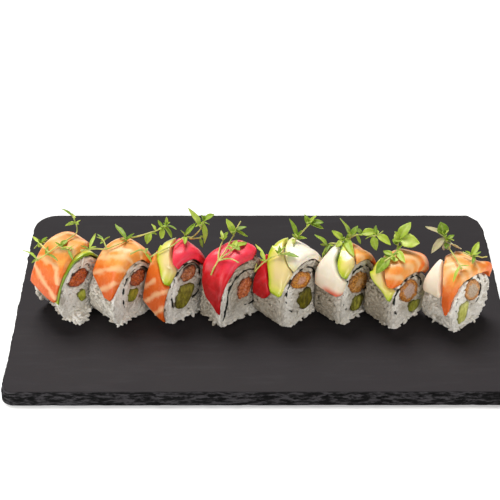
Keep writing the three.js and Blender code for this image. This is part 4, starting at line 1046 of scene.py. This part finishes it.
def rice_grains(name):
    """All the grains of a roll, in its own measures, and the tone of each."""
    roll = ROLLS[name]
    length = roll["length"]
    far = far_arc(name)
    left, right = feet(name)
    rng = np.random.default_rng(roll["seed"])
    some = rng.uniform
    sets = []

    def keep(x, depth, z, along, out, size, low, high):
        n = len(along)
        span, middle = some(*GRAIN_LONG, n) * size, np.stack([x, depth, z], 1)
        made = grain_points(rng, middle, along, out, span, some(*GRAIN_WIDE, n), some(*GRAIN_THICK, n))
        made[..., 1] = np.clip(made[..., 1], np.reshape(low, (-1, 1)), np.reshape(high, (-1, 1)))
        made[..., 2] = np.maximum(made[..., 2], -0.2)
        sets.append(made)

    def cut_face(back):
        outline, line = rice_outline(name, 0.25), nori_line(name)
        holes = [shrimp_outline(name, 40)]
        if roll["avocado"]:
            holes.append(core_outline(name, 40))
        gx, gz = np.meshgrid(np.arange(-22, 24, CUT_STEPS[0]), np.arange(0.8, 50, CUT_STEPS[1]))
        gx = gx + (np.arange(gx.shape[0]) % 2)[:, None] * STAGGER
        spots = np.stack([gx.ravel(), gz.ravel()], 1) + some(-SCATTER, SCATTER, (gx.size, 2))
        spots = spots[inside(spots, outline)]
        edge, edge_way = nearest(spots, outline)
        sheet, sheet_way = nearest(spots, line, False)
        way = some(0, np.pi, len(spots))
        from_edge, from_sheet, from_hole = CUT_GAPS
        ok = (edge > from_edge) & ((sheet > from_sheet) | (bare_at(name, spots) < 0.35))
        close = np.minimum(edge, sheet)
        tangent = np.where((edge < sheet)[:, None], edge_way, sheet_way)
        for hole in holes:
            gap, gap_way = nearest(spots, hole)
            ok &= ~inside(spots, hole) & (gap > from_hole)
            tangent = np.where((gap < close)[:, None], gap_way, tangent)
            close = np.minimum(close, gap)
        turn = np.arctan2(tangent[:, 1], tangent[:, 0]) + rng.normal(0, 0.22, len(spots))
        way = np.where(close < CUT_ALONG, turn, way)
        (x, z), way, close = spots[ok].T, way[ok], close[ok]
        n = len(way)
        tip, depth, cut = rng.normal(0, 0.22, n), some(0.55, 1.25, n), some(0.0, 0.4, n)
        along = np.stack([np.cos(way) * np.cos(tip), np.sin(tip), np.sin(way) * np.cos(tip)], 1)
        out = np.tile([0.0, -1.0, 0.0], (n, 1))
        size = np.interp(close, [0.5, 2.5], [0.72, 1.0])
        if back:
            keep(x, length - depth, z, along * (1, -1, 1), -out, size, 0, length - cut)
        else:
            keep(x, depth, z, along, out, size, cut, length)

    def outer_skin():
        around, step = SKIN_STEPS
        arc, depth = np.meshgrid(np.arange(-far + 0.6, far, around), np.arange(0.9, length, step))
        depth = depth + (np.arange(depth.shape[1]) % 2) * STAGGER
        arc = (arc + some(-SCATTER, SCATTER, arc.shape)).ravel()
        depth = np.clip((depth + some(-SCATTER, SCATTER, depth.shape)).ravel(), 0.5, length - 0.5)
        show = ~covered(name, arc, depth, UNDER_SLICE)
        arc, depth = arc[show], depth[show]
        n = len(arc)
        x, z, nx, nz = skin(name, arc)
        over = covered(name, arc, depth, -BESIDE_SLICE)
        inset = cover_at(name, arc) + np.where(over, 1.15, some(0.5, 1.2, n)) + tucked(name, arc, depth)
        way = some(0, np.pi, n)
        lift = np.where(over, 0.0, rng.normal(0, 0.2, n))
        tangent = np.stack([nz, np.zeros(n), -nx], 1)
        out = np.stack([nx, np.zeros(n), nz], 1)
        along = tangent * np.cos(way)[:, None] + np.array([0, 1.0, 0]) * np.sin(way)[:, None]
        along = unit(along + out * np.sin(lift)[:, None])
        keep(x - nx * inset, depth, np.maximum(z - nz * inset, 0.8), along, out, 1, 0, length)

    def loose_at_foot():
        n, size = LOOSE_MORE if name[-1] in LOOSE_MORE_AT else LOOSE
        where, front = some(0, 1, n), some(0, 1, n) < 0.45
        beside = np.where(some(0, 1, n) < 0.6, left - 0.2, right + 0.2)
        x = np.where(front, left + (right - left) * where, beside)
        depth = np.where(front, some(0.2, 1.4, n), some(1, length - 1, n))
        x = np.where(x < left, x + tucked(name, -far, depth), x) + rng.normal(0, 0.9, n)
        z = some(0.7, 4.2, n)
        way = some(0, 2 * np.pi, n)
        along = unit(np.stack([np.cos(way), np.sin(way) * 0.8, rng.normal(0, 0.45, n)], 1))
        keep(x, depth, z, along, np.tile(UP, (n, 1)), size, -2, length + 1.6)

    def spilt_at_foot():
        n = SPILT
        ahead = some(0, 1, n) < 0.4
        depth = np.where(ahead, some(-5, 0.3, n), some(0, length * 0.95, n))
        reach = 1 + np.minimum(depth, 0) / 6.5
        inward = some(0, 1, n)
        foot = np.where(ahead, -0.7 * np.minimum(depth, 0), 4 * smooth((depth - 9) / 11))
        x = left - 1.8 + foot + inward * np.where(ahead, 14, 5.5) * reach
        z = 0.8 + some(0, 1, n) * np.where(ahead, 5, 1 + 7 * inward) * reach
        way = some(0, 2 * np.pi, n)
        along = unit(np.stack([np.cos(way), np.sin(way), rng.normal(0, 0.4, n)], 1))
        keep(x, depth, z, along, np.tile(UP, (n, 1)), some(0.95, 1.2, n), -7, length + 1)

    cut_face(back=False)
    cut_face(back=True)
    outer_skin()
    loose_at_foot()
    if "tuck" in roll:
        spilt_at_foot()
    grains = np.concatenate(sets)
    return grains, grain_tone(name, grains, some)


def build_rice(name):
    number = name[-1]
    grains, tone = rice_grains(name)
    core, core_faces = packed_middle(name)
    count = grains.shape[1]
    points = np.concatenate([place(name, *grains.reshape(-1, 3).T), core])
    pattern = grain_faces()
    faces = [[count * g + i for i in face] for g in range(len(grains)) for face in pattern]
    faces.extend(face + count * len(grains) for face in core_faces)
    # The middle under the grains takes the darkest tone: painted shade in the gaps between grains
    shade = np.append(np.repeat(tone, count), np.zeros(len(core)))
    piece(f"rice_grains_{number}", points, faces, RICE, f"rice_{number}", {"shade": shade})


def build_nori(name):
    length = ROLLS[name]["length"]
    number = name[-1]
    line = nori_line(name)
    way = unit(np.gradient(line, axis=0))
    across = np.stack([-way[:, 1], way[:, 0]], 1)
    worn = bare_at(name, line)
    inward = 0.75 * (1 - worn) - 0.1 if number != "8" else 0.5
    grids = []
    for side in (1, -1):
        x, z = (line + across * (NORI_HALF + NORI_SWELL * worn)[:, None] * side).T
        depths = [inward, *np.linspace(0, length, 9)[1:-1], length - inward]
        grids.append(np.stack([place(name, x, depth, z) for depth in depths]))
    points, faces, _ = shell(*grids, 0.1)
    piece(f"nori_sheet_{number}", points, faces, NORI, f"nori_{number}")


def capped_bar(name, outline, swell_of, paint_of, steps):
    """A bar through the roll whose ends show on the cuts.

    swell_of tells how far the end stands out at a share from the middle, paint_of the two tones there.
    """
    roll = ROLLS[name]
    length = roll["length"]
    middle = outline.mean(0)

    def end_ring(share, back):
        x, z = (middle + (outline - middle) * share).T
        out = swell_of(share, spot_of(x, z, roll["seed"] * 2.3 + 40 * back))
        return place(name, x, length + out if back else -out, z)

    depths = np.linspace(BAR_UNDER, length - BAR_UNDER, BAR_RINGS)
    between = [place(name, outline[:, 0], depth, outline[:, 1]) for depth in depths]
    front = [end_ring(share, 0) for share in steps]
    back = [end_ring(share, 1) for share in steps[::-1]]
    points, faces = tube(np.array(front + between + back))
    share = np.repeat(np.concatenate([steps, np.ones(len(depths)), steps[::-1]]), len(outline))
    first, second = paint_of(np.append(share, [0, 0]), points)
    return points, faces, {"tint": first, "tint2": second}


def blend(share, stops, codes):
    """Colours along stops, given as hex codes, read at share."""
    tones = np.array([linear(code) for code in codes])
    return np.stack([np.interp(share, stops, tones[:, k]) for k in range(3)], 1)


# Shrimp: share of the flesh, its two tones, the two tones of the crumb and those of its outer rim; each
# roll's tones are set lighter or darker as painted light and painted shade on its cut
SHRIMP_TONE_AND_PAINTED_LIGHT = {
    "1": (0.0, "b4561c", "e07a2c", "9c3c12", "d86a20", "4e1c08", "7c2e0e"),
    "2": (0.1, "a44c1c", "cc6c2c", "8c3a14", "c06428", "4c2410", "7c3c18"),
    "3": (0.2, "a86848", "c48a68", "8a4620", "b8703a", "4c2410", "6c3414"),
    "4": (0.1, "b4684c", "dc8c64", "a44c24", "d87c40", "5c240c", "9c4c20"),
    "5": (0.42, "c08a70", "d8a890", "a8601c", "e09a34", "6a340e", "b06a20"),
    "6": (0.36, "b4885c", "d0a474", "8c5824", "dc9a44", "54300e", "aa702c"),
    "7": (0.58, "b4988c", "d0b4a4", "9a5c24", "d89440", "7a4014", "c0762c"),
    "8": (0.66, "a48c70", "c0a88c", "b4783c", "d89c50", "98602a", "c48240"),
}
# Avocado middle: two tones for each roll, set lighter or darker as painted light and painted shade on its cut
CORE_TONE_AND_PAINTED_LIGHT = {
    "1": ("a2a626", "c8cc48"),
    "2": ("7f8424", "b4b03c"),
    "3": ("6e641a", "a29a34"),
    "5": ("565010", "857c20"),
    "6": ("6e6a20", "b2ae48"),
    "7": ("7e7e24", "b0b044"),
    "8": ("c0c054", "e2e284"),
}


def build_shrimp(name):
    number = name[-1]
    meat, flesh, flesh2, crumb, crumb2, rim, rim2 = SHRIMP_TONE_AND_PAINTED_LIGHT[number]
    stops = [0, max(meat - 0.06, 0.01), meat + 0.1, 0.82, 1.0]

    def swell_of(share, spot):
        rough = np.interp(share, [meat, meat + 0.12], [0.4, 1.0])
        crag = 0.75 * noise(spot, 1.7, 12) + 0.6 * noise(spot, 0.75, 15)
        return 0.25 - 0.5 * share**6 + crag * rough * (share < 0.99)

    def paint_of(share, points):
        share = share + 0.12 * noise(points, 2.2, 14) + 0.06 * noise(points, 0.9, 16)
        low = blend(share, stops, (flesh, flesh, crumb, crumb, rim))
        return low, blend(share, stops, (flesh2, flesh2, crumb2, crumb2, rim2))

    steps = np.concatenate([[0.08], np.linspace(0.16, 0.94, 14), [1.0]])
    points, faces, colours = capped_bar(name, shrimp_outline(name), swell_of, paint_of, steps)
    piece(f"shrimp_bar_{number}", points, faces, SHRIMP, f"shrimp_{number}", None, colours)


def build_core(name):
    number = name[-1]
    low, high = (np.array(linear(code)[:3]) for code in CORE_TONE_AND_PAINTED_LIGHT[number])

    def swell_of(share, spot):
        fibre = noise(spot * (1, 0.4, 1), 1.5, 21)
        return 0.2 * (1 - share**3) + 0.45 * fibre * np.interp(share, [0.3, 0.9, 1.0], [0.7, 1.0, 0.0])

    def paint_of(share, points):
        share = share + 0.08 * noise(points, 1.6, 22)
        shade = np.interp(share, [0, 0.75, 1.0], [1.0, 0.95, 0.5])[:, None]
        return low * shade, high * shade

    steps = np.concatenate([[0.1], np.linspace(0.2, 0.93, 9), [1.0]])
    points, faces, colours = capped_bar(name, core_outline(name), swell_of, paint_of, steps)
    node, slot = f"filling_{number}", "avocado_filling"
    piece(f"avocado_core_{number}", points, faces, CORE, node, None, colours)


# Slices over the rolls

# Fat lines of each slice as runs of arc and depth
FAT = {
    "salmon_1": [
        [(-22, 31), (-24.1, 26), (-26.3, 21.1), (-29, 15.5), (-31.2, 9.9), (-33.6, 4.6), (-36, 0)],
        [(-20.5, 27), (-17.7, 19.7), (-16.7, 11.8), (-18.3, 5.6), (-22, 4.3), (-26, 2)],
        [(-12, 26), (-8.4, 24.7), (-0.5, 22.4), (6.9, 20.4), (14, 17)],
        [(-10, 14), (-5, 7), (-4, 1)],
        [(4, 14), (8, 8), (12, 6)],
    ],
    "salmon_2": [
        [(-17.4, 22.5), (-12.5, 14.2), (-7.4, 3.1), (-5, 0)],
        [(-28, 23), (-26.1, 20.2), (-20.4, 12.2), (-15.3, 2.8), (-14, 0)],
        [(-32.5, 10.8), (-27.9, 4.6), (-24, 1.4)],
        [(-12, 19), (-7.7, 14), (-2.9, 8.3), (-0.8, 3.4)],
        [(-6.2, 20.8), (2, 19.4)],
        [(12, 20), (9.2, 14.5), (6.2, 6.6), (4.4, 0)],
        [(22, 18), (17, 10), (14, 2)],
    ],
    "salmon_3": [
        [(-41.7, 0), (-50, 8.7)],
        [(-29.2, 0), (-36, 8), (-45, 16.5)],
        [(-26.6, 10.4), (-33, 16), (-37.2, 21.5)],
        [(-19, 17), (-23, 21.5)],
    ],
    "salmon_6": [
        [(2.8, 0), (-3, 5)],
        [(13.9, 0), (9, 6), (3.4, 11)],
        [(25, 0), (14.4, 11), (6.6, 19.2)],
        [(17.7, 19.2), (28, 8.5)],
    ],
    "salmon_7": [
        [(-12, 14), (-9.2, 8.4), (-4.1, 2.8), (-1.5, 1.8), (1, 0)],
        [(-19, 10), (-15.6, 5.6), (-13.4, 1.8), (-12, 0)],
        [(9, 0), (2, 7), (-4, 14), (-8, 20)],
        [(19, 0), (11, 8), (4, 16), (0, 20)],
        [(26, 4), (18, 13), (12, 20)],
    ],
    "salmon_8": [
        [(-6, 20), (-4.9, 19.3), (1.8, 17.4), (4.9, 12.5), (5.4, 7.3), (5, 0)],
        [(-14, 16), (-9.6, 16.6), (-5.1, 13.6), (-2.4, 10.6), (-2.4, 3), (-3, 0)],
        [(-19, 10), (-12.9, 11.4), (-9.3, 10.1), (-7.4, 7.3), (-8.2, 3.8), (-9, 1)],
        [(2, 21), (9, 18), (12, 11), (12, 3)],
    ],
}
# Other kinds: how much arc and depth count across their faint lines, and the spacing of these
FAINT_LINES = {"tuna": (0.5, 0.87, 4.2), "whitefish": (0.6, 0.8, 5.0)}
NO_LINE = 9.0
# Slices: spacing of their points along the arc, points across, how near a cut an edge lies on it, height
# and size of the waves of a free edge, and how far a free end is rounded
SLICE_STEP = 0.75
SLICE_ACROSS = 29
SLICE_ON_CUT = 0.8
EDGE_WAVE = 0.3
EDGE_WAVE_SIZE = 3.5
END_ROUND = 2.2
# How far a free side is rounded, soft kinds less than others
SIDE_ROUND = 2.0
SOFT_ROUND = 1.1
SOFT_KINDS = ("avocado", "whitefish")
# Share of the points across that crowd toward the edges
CROWDED = 0.65
# Share of the thickness left at a rounded edge
EDGE_SHARE = 0.4
# Waves of the top: height, size and seed; height and half width of the ridge along a fat line
TOP_WAVES = ((0.22, 6, 0), (0.1, 2.4, 5))
RIDGE = 0.12
RIDGE_HALF = 1.6


def fat_at(name, kind, arc, depth):
    """Distance to the nearest line, in mm."""
    if kind in FAINT_LINES:
        a, d, gap = FAINT_LINES[kind]
        t = (a * arc + d * depth) / gap
        return np.abs(t - np.floor(t) - 0.5) * gap
    best = np.full(arc.shape, NO_LINE)
    spots = np.stack([arc.ravel(), depth.ravel()], 1)
    for run in FAT.get(name, []):
        best = np.minimum(best, nearest(spots, np.array(run), False)[0].reshape(arc.shape))
    return best


def rounding(distance, radius):
    t = np.clip(distance / np.maximum(radius, 1e-6), 0, 1)
    return np.sqrt(1 - (1 - t) ** 2)


def slice_marks(name, arc, depth, fat, to_near, to_far):
    """What a slice keeps on its points for its material, told from the distances to its two edges."""
    from_first, to_last = arc - arc[0, 0], arc[-1, 0] - arc
    # shade: painted light at the crown, fading to painted shade toward the foot
    marks = {"fat": fat, "shade": 1 - smooth((np.abs(arc + 2) - 6) / 30)}
    marks.update(dict.fromkeys(("blood", "seam", "rim"), np.zeros(arc.shape)))
    if name == "whitefish_6":
        marks["blood"] = smooth((5.5 - from_first) / 4) * smooth((15 - depth) / 8) * 0.9
    if name == "whitefish_5":
        edge = np.minimum(np.where(to_near[0], 99, 0) + to_near[1], np.where(to_far[0], 99, 0) + to_far[1])
        marks["seam"] = 0.6 * smooth(1 - np.minimum(edge, from_first) / 7)
    if name == "avocado_1":
        marks["rim"] = np.minimum(to_near[1], to_last * 0.8)
    elif name.startswith("avocado"):
        marks["rim"] = np.minimum(to_far[1], from_first * 0.7)
    return marks


def build_slice(name):
    kind, number = name.split("_")
    roll_name = "roll_" + number
    length = ROLLS[roll_name]["length"]
    rows = SLICES[name]
    first, last = rows[0][0], rows[-1][0]
    count = int((last - first) / SLICE_STEP) + 2
    arcs = np.linspace(first, last, count)
    seed = sum(ord(c) for c in name)
    line = np.stack([arcs, np.zeros(count), np.zeros(count)], 1)
    near, far = rows_at(rows, arcs, 1)[:, None], rows_at(rows, arcs, 2)[:, None]
    cut_near, cut_far = near < SLICE_ON_CUT, far > length - SLICE_ON_CUT
    near_wave, far_wave = (EDGE_WAVE * noise(line, EDGE_WAVE_SIZE, seed + i)[:, None] for i in (0, 1))
    near = near + np.where(cut_near, 0.05, near_wave) + 0.1
    far = far + np.where(cut_far, -0.05, far_wave) - 0.1
    even = np.linspace(0, 1, SLICE_ACROSS)
    share = (1 - CROWDED) * even + CROWDED * (1 - np.cos(np.pi * even)) / 2
    arc = np.repeat(arcs[:, None], len(share), 1)
    depth = near + (far - near) * share
    over = OVER.get(name, -GAP)
    base = (cover_at(roll_name, arcs) - GAP - (over + GAP))[:, None]
    full = np.maximum(base + PROUD.get(name, 0), SLICE_MIN)
    if name in THIN:
        full = np.full(base.shape, THIN[name])
    free = np.minimum(SOFT_ROUND if kind in SOFT_KINDS else SIDE_ROUND, 0.8 * full)
    soft = 0.4 if name in THIN else 0.6 + 0.85 * full
    k = np.minimum(
        rounding(depth - near, np.where(cut_near, soft, free)),
        rounding(far - depth, np.where(cut_far, soft, free)),
    )
    k = np.minimum(k, np.minimum(rounding(arc - first, END_ROUND), rounding(last - arc, END_ROUND)))
    lifted = np.zeros(arc.shape)
    for a0, d0, reach, high in FLARES.get(name, []):
        lifted = lifted + high * smooth(1 - np.hypot(arc - a0, depth - d0) / reach)
    spot = np.stack([arc, depth, np.zeros(arc.shape)], -1)
    swell = sum(high * noise(spot, size, seed + more) for high, size, more in TOP_WAVES)
    fat = fat_at(name, kind, arc, depth)
    if name in FAT:
        swell = swell + RIDGE * np.clip(1 - fat / RIDGE_HALF, 0, 1)
    top = -base + full * (EDGE_SHARE + (1 - EDGE_SHARE) * k) + lifted + swell * k
    under = -base + 0.6 * lifted
    x, z, nx, nz = (v[:, None] for v in skin(roll_name, arcs))
    upper, lower = (place(roll_name, x + nx * lift, depth, z + nz * lift) for lift in (top, under))
    points, faces, spread = shell(upper, lower, 0.25)
    marks = slice_marks(name, arc, depth, fat, (cut_near, depth - near), (cut_far, far - depth))
    values = {key: spread(grid) for key, grid in marks.items()}
    piece(f"{kind}_slice_{number}", points, faces, FLESH[kind], name, values)


# Sprigs of cress

# How far stems and leaves stay off the rolls
SPRIG_CLEAR = 1.15
LEAF_CLEAR = 0.75
# Arcs at which the rolls are met, and the height over the plate from which they are
MET_ARCS = np.arange(-40, 41, 1.0)
MET_FROM = 20
# Stems: radius at the foot, points round, rings of the main stem and of a branch, first seed
STEM_RADIUS = 0.55
STEM_SIDES = 8
STEM_RINGS = (30, 14)
SPRIG_SEED = 320
# Leaves: half thickness, points along and across, height of the waves, of the cup and of the fold
LEAF_HALF = 0.13
LEAF_GRID = (19, 9)
LEAF_WAVE = 0.35
LEAF_CUP = 0.13
LEAF_FOLD = 0.16
# Half width of a leaf along its length
LEAF_ALONG = [-0.07, 0, 0.08, 0.2, 0.35, 0.52, 0.68, 0.82, 0.93, 1]
LEAF_WIDTH = [0.12, 0.14, 0.4, 0.8, 1, 0.98, 0.82, 0.55, 0.26, 0.05]
# Leaves of a dull pink tone
BLUSH = {"sprig_9": (0, 3, 4, 5)}


def curve_point(knots, t):
    """Points of a smooth curve through knots, at shares t of its pieces."""
    knots = np.asarray(knots, dtype=float)
    wide = np.concatenate([[2 * knots[0] - knots[1]], knots, [2 * knots[-1] - knots[-2]]])
    p = np.clip(t, 0, 1) * (len(knots) - 1)
    k = np.minimum(np.floor(p).astype(int), len(knots) - 2)
    w = (p - k)[:, None]
    p0, p1, p2, p3 = (wide[k + i] for i in range(4))
    step = lambda a, b: ((a - b) ** 2).sum(1)[:, None] ** 0.25
    d0, d1, d2 = step(p0, p1), step(p1, p2), step(p2, p3)
    d1 = np.where(d1 < 1e-4, 1.0, d1)
    d0 = np.where(d0 < 1e-4, d1, d0)
    d2 = np.where(d2 < 1e-4, d1, d2)
    t1 = ((p1 - p0) / d0 - (p2 - p0) / (d0 + d1) + (p2 - p1) / d1) * d1
    t2 = ((p2 - p1) / d1 - (p3 - p1) / (d1 + d2) + (p3 - p2) / d2) * d1
    return p1 + t1 * w + (-3 * p1 + 3 * p2 - 2 * t1 - t2) * w**2 + (2 * p1 - 2 * p2 + t1 + t2) * w**3


def curve_at(knots, u):
    """Points of the same curve at shares u of its length."""
    t = np.linspace(0, 1, 201)
    run = run_of(curve_point(knots, t))
    return curve_point(knots, np.interp(np.asarray(u) * run[-1], run, t))


def cleared(points, least):
    """Points pushed clear of every roll they would touch."""
    out = points.reshape(-1, 3)
    for name, roll in ROLLS.items():
        x, depth, z = local(name, out)
        gap = least + roll.get("proud", 0)
        at = (depth > -1) & (depth < roll["length"] + 1) & (np.abs(x) < roll["width"]) & (z > MET_FROM)
        sx, sz, nx, nz = skin(name, MET_ARCS)
        k = ((x[:, None] - sx) ** 2 + (z[:, None] - sz) ** 2).argmin(1)
        lift = (x - sx[k]) * nx[k] + (z - sz[k]) * nz[k]
        push = np.where(at & (lift < gap), gap - lift, 0)
        moved = place(name, x + nx[k] * push, depth, z + nz[k] * push)
        out = np.where((push > 0)[:, None], moved, out)
    return out.reshape(points.shape)


def stem_knots(name, rows, main):
    """Knots of a stem clear of the rolls, starting on the main stem where it branches off."""
    path = curve_at(rows, np.linspace(0, 1, 13))
    x, z, nx, nz = skin(name, path[:, 0])
    points = cleared(place(name, x + nx * path[:, 2], path[:, 1], z + nz * path[:, 2]), SPRIG_CLEAR)
    if main is None:
        return points
    spots = curve_at(main, np.linspace(0, 1, 81))
    away = np.linalg.norm(spots - points[0], axis=1)
    rest = points if away.min() > 0.4 else points[1:]
    return np.concatenate([[spots[away.argmin()]], rest])


def stem_mesh(knots, samples, seed):
    middle = curve_at(knots, np.linspace(0, 1, samples + 1))
    ahead = unit(np.gradient(middle, axis=0))
    side = unit(np.cross(ahead[0], [0.3, 0.2, 1.0]))
    a = np.arange(STEM_SIDES)[:, None] / STEM_SIDES * 2 * np.pi
    rings = []
    for i in range(samples + 1):
        side = unit(side - ahead[i] * np.dot(side, ahead[i]))
        radius = STEM_RADIUS * (1 - 0.36 * i / samples) * (1 + 0.1 * math.sin(i * 1.7 + seed))
        rings.append(middle[i] + radius * (np.cos(a) * side + np.sin(a) * np.cross(ahead[i], side)))
    return tube(np.array(rings), 0.2)


def leaf_mesh(base, leaf, draw, seed):
    """A folded, wavy leaf from its base, with its heading, rise, length and width."""
    heading, rise = np.radians(leaf[:2])
    length, width = leaf[2:]
    along = np.array([np.cos(rise) * np.cos(heading), np.cos(rise) * np.sin(heading), np.sin(rise)])
    side = np.array([-np.sin(heading), np.cos(heading), 0])
    face = unit(np.cross(along, side))
    face = face if face[2] >= 0 else -face
    twist = (draw() - 0.5) * 0.8
    t = np.linspace(LEAF_ALONG[0], 1, LEAF_GRID[0])[:, None]
    u = np.linspace(-1, 1, LEAF_GRID[1])[None, :]
    foot = np.interp(t, [LEAF_ALONG[0], 0.1], [STEM_RADIUS / width, 0])
    edge = np.maximum(np.interp(t, LEAF_ALONG, LEAF_WIDTH), foot)
    turn = twist + 0.5 * math.sin(seed * 1.3) * np.maximum(t, 0)
    across = side * np.cos(turn) + face * np.sin(turn)
    normal = np.cross(across, along)
    normal = normal * np.where(normal[:, 2:3] < 0, -1, 1)
    ripple = np.stack(np.broadcast_arrays(t * length, u * width / 2, seed * 5.0), -1)
    wave = LEAF_WAVE * noise(ripple, 3.0, 7) * np.abs(u) ** 1.5
    cup = LEAF_CUP * width * u**2 * edge
    fold = -LEAF_FOLD * np.exp(-((u / 0.18) ** 2))
    spine = base + along * t * length + normal * (0.05 * length * np.sin(t * 4.4))
    half = edge * width / 2 * (1 + 0.06 * noise(ripple * 2.1, 2.2, 9))
    grid = spine[:, None] + across[:, None] * (u * half)[..., None]
    grid = grid + normal[:, None] * (cup + wave + fold)[..., None]
    grid[1:] = cleared(grid[1:], LEAF_CLEAR)
    thick = LEAF_HALF * normal[:, None]
    points, faces, spread = shell(grid + thick, grid - thick, 0.05)
    lanes = np.abs(np.sin(np.maximum(t, 0) * length * 0.9 - np.abs(u) * width * 0.35))
    side_veins = 0.5 * smooth((lanes - 0.86) * 9) * (np.abs(u) < 0.92)
    vein = np.maximum(np.exp(-((u / 0.12) ** 2)), side_veins)
    under = np.zeros(len(points))
    under[vein.size : 2 * vein.size] = 1
    return points, faces, {"vein": spread(vein), "under": under}


def tufts_of(leaves, seed):
    """Second small leaves beside the long ones."""
    tufts = []
    for i, (stem, where, heading, rise, long, wide) in enumerate(leaves):
        if long > 5:
            form = [min(rise + 25, 60), 2 + 0.3 * long, max(1.5, 0.55 * wide)]
            turns = (120, -105)[: 1 + (i + seed) % 2]
            tufts.extend([stem, where, heading + turn] + form for turn in turns)
    return tufts


def build_sprig(name, seed):
    sprig = SPRIGS[name]
    draw = seeded(seed)
    stems = []
    parts = []
    for i, rows in enumerate(sprig["stems"]):
        stems.append(stem_knots(sprig["roll"], rows, stems[0] if stems else None))
        parts.append((*stem_mesh(stems[-1], STEM_RINGS[i > 0], seed + i), {}, 1))
    for i, (stem, where, *leaf) in enumerate(sprig["leaves"] + tufts_of(sprig["leaves"], seed)):
        base = curve_at(stems[stem], [where])[0]
        points, faces, marks = leaf_mesh(base, leaf, draw, seed + i * 3.0)
        marks["shade"] = 0.25 + 0.6 * ((i * 0.37 + seed * 0.13) % 1)
        marks["blush"] = 0.75 if i in BLUSH.get(name, ()) else 0.0
        parts.append((points, faces, marks, 0))
    start = np.cumsum([0] + [len(points) for points, *_ in parts])
    faces = [np.asarray(face) + start[i] for i, part in enumerate(parts) for face in part[1]]
    values = {}
    for key in ("vein", "shade", "under", "blush"):
        values[key] = np.concatenate([np.broadcast_to(part[2].get(key, 0.0), len(part[0])) for part in parts])
    number = name.split("_")[1]
    points = np.concatenate([part[0] for part in parts])
    obj = piece(f"cress_{number}", points, faces, LEAF, name, values)
    obj.data.materials.append(STEM)
    obj.data.polygons.foreach_set("material_index", [part[3] for part in parts for _ in part[1]])


# Build

build_slate()
for roll_name, roll in ROLLS.items():
    build_rice(roll_name)
    build_nori(roll_name)
    build_shrimp(roll_name)
    if roll["avocado"]:
        build_core(roll_name)
for slice_name in SLICES:
    build_slice(slice_name)
for i, sprig_name in enumerate(SPRIGS):
    build_sprig(sprig_name, SPRIG_SEED + i)

# Table, light and camera

FLOOR_HALF = 6
SENSOR = 36

floor_mesh = bpy.data.meshes.new("table")
floor_corners = [(x * FLOOR_HALF, y * FLOOR_HALF, 0) for x, y in ((-1, -1), (1, -1), (1, 1), (-1, 1))]
floor_mesh.from_pydata(floor_corners, [], [(0, 1, 2, 3)])
floor_mesh.materials.append(floor_paint())
floor = bpy.data.objects.new("table", floor_mesh)
scene.collection.objects.link(floor)

world = bpy.data.worlds.new("studio")
world.use_nodes = True
room = world.node_tree.nodes["Background"].inputs
room["Color"].default_value = (1, 1, 1, 1)
room["Strength"].default_value = WORLD_LIGHT
scene.world = world
scene.view_settings.view_transform = "Standard"
scene.view_settings.look = "None"
scene.view_settings.exposure = 0
scene.view_settings.gamma = 1


def hang(name, lamp, spot, way):
    """A lamp whose light runs against the direction way."""
    obj = bpy.data.objects.new(name, lamp)
    obj.location = spot
    obj.rotation_euler = Vector(way).to_track_quat("Z", "Y").to_euler()
    scene.collection.objects.link(obj)


window = bpy.data.lights.new("window", "SUN")
window.energy, spread_angle, window.color, window_way = WINDOW
window.angle = math.radians(spread_angle)
hang("window", window, (0, 0, 1), window_way)
for panel_name, (power, width, tint, spot) in PANELS.items():
    panel = bpy.data.lights.new(panel_name, "AREA")
    panel.energy, panel.size, panel.color = power, width, tint
    hang(panel_name, panel, spot, Vector(spot) - Vector(PANEL_AIM))

pitch, yaw, tilt = np.radians([CAMERA_PITCH, CAMERA_YAW, CAMERA_ROLL])
ahead = np.array([np.sin(yaw) * np.cos(pitch), np.cos(yaw) * np.cos(pitch), -np.sin(pitch)])
level = np.array([np.cos(yaw), -np.sin(yaw), 0])
right = level * np.cos(tilt) + np.cross(level, ahead) * np.sin(tilt)
camera_data = bpy.data.cameras.new("camera")
camera_data.sensor_width = SENSOR
camera_data.lens = CAMERA_FOCAL * SENSOR
camera_data.clip_start = 0.01
camera_data.clip_end = 20
camera = bpy.data.objects.new("camera", camera_data)
stand = np.eye(4)
stand[:3] = np.stack([right, np.cross(right, ahead), -ahead, np.array(CAMERA_AT) * MM], 1)
camera.matrix_world = Matrix(stand.tolist())
scene.collection.objects.link(camera)
scene.camera = camera

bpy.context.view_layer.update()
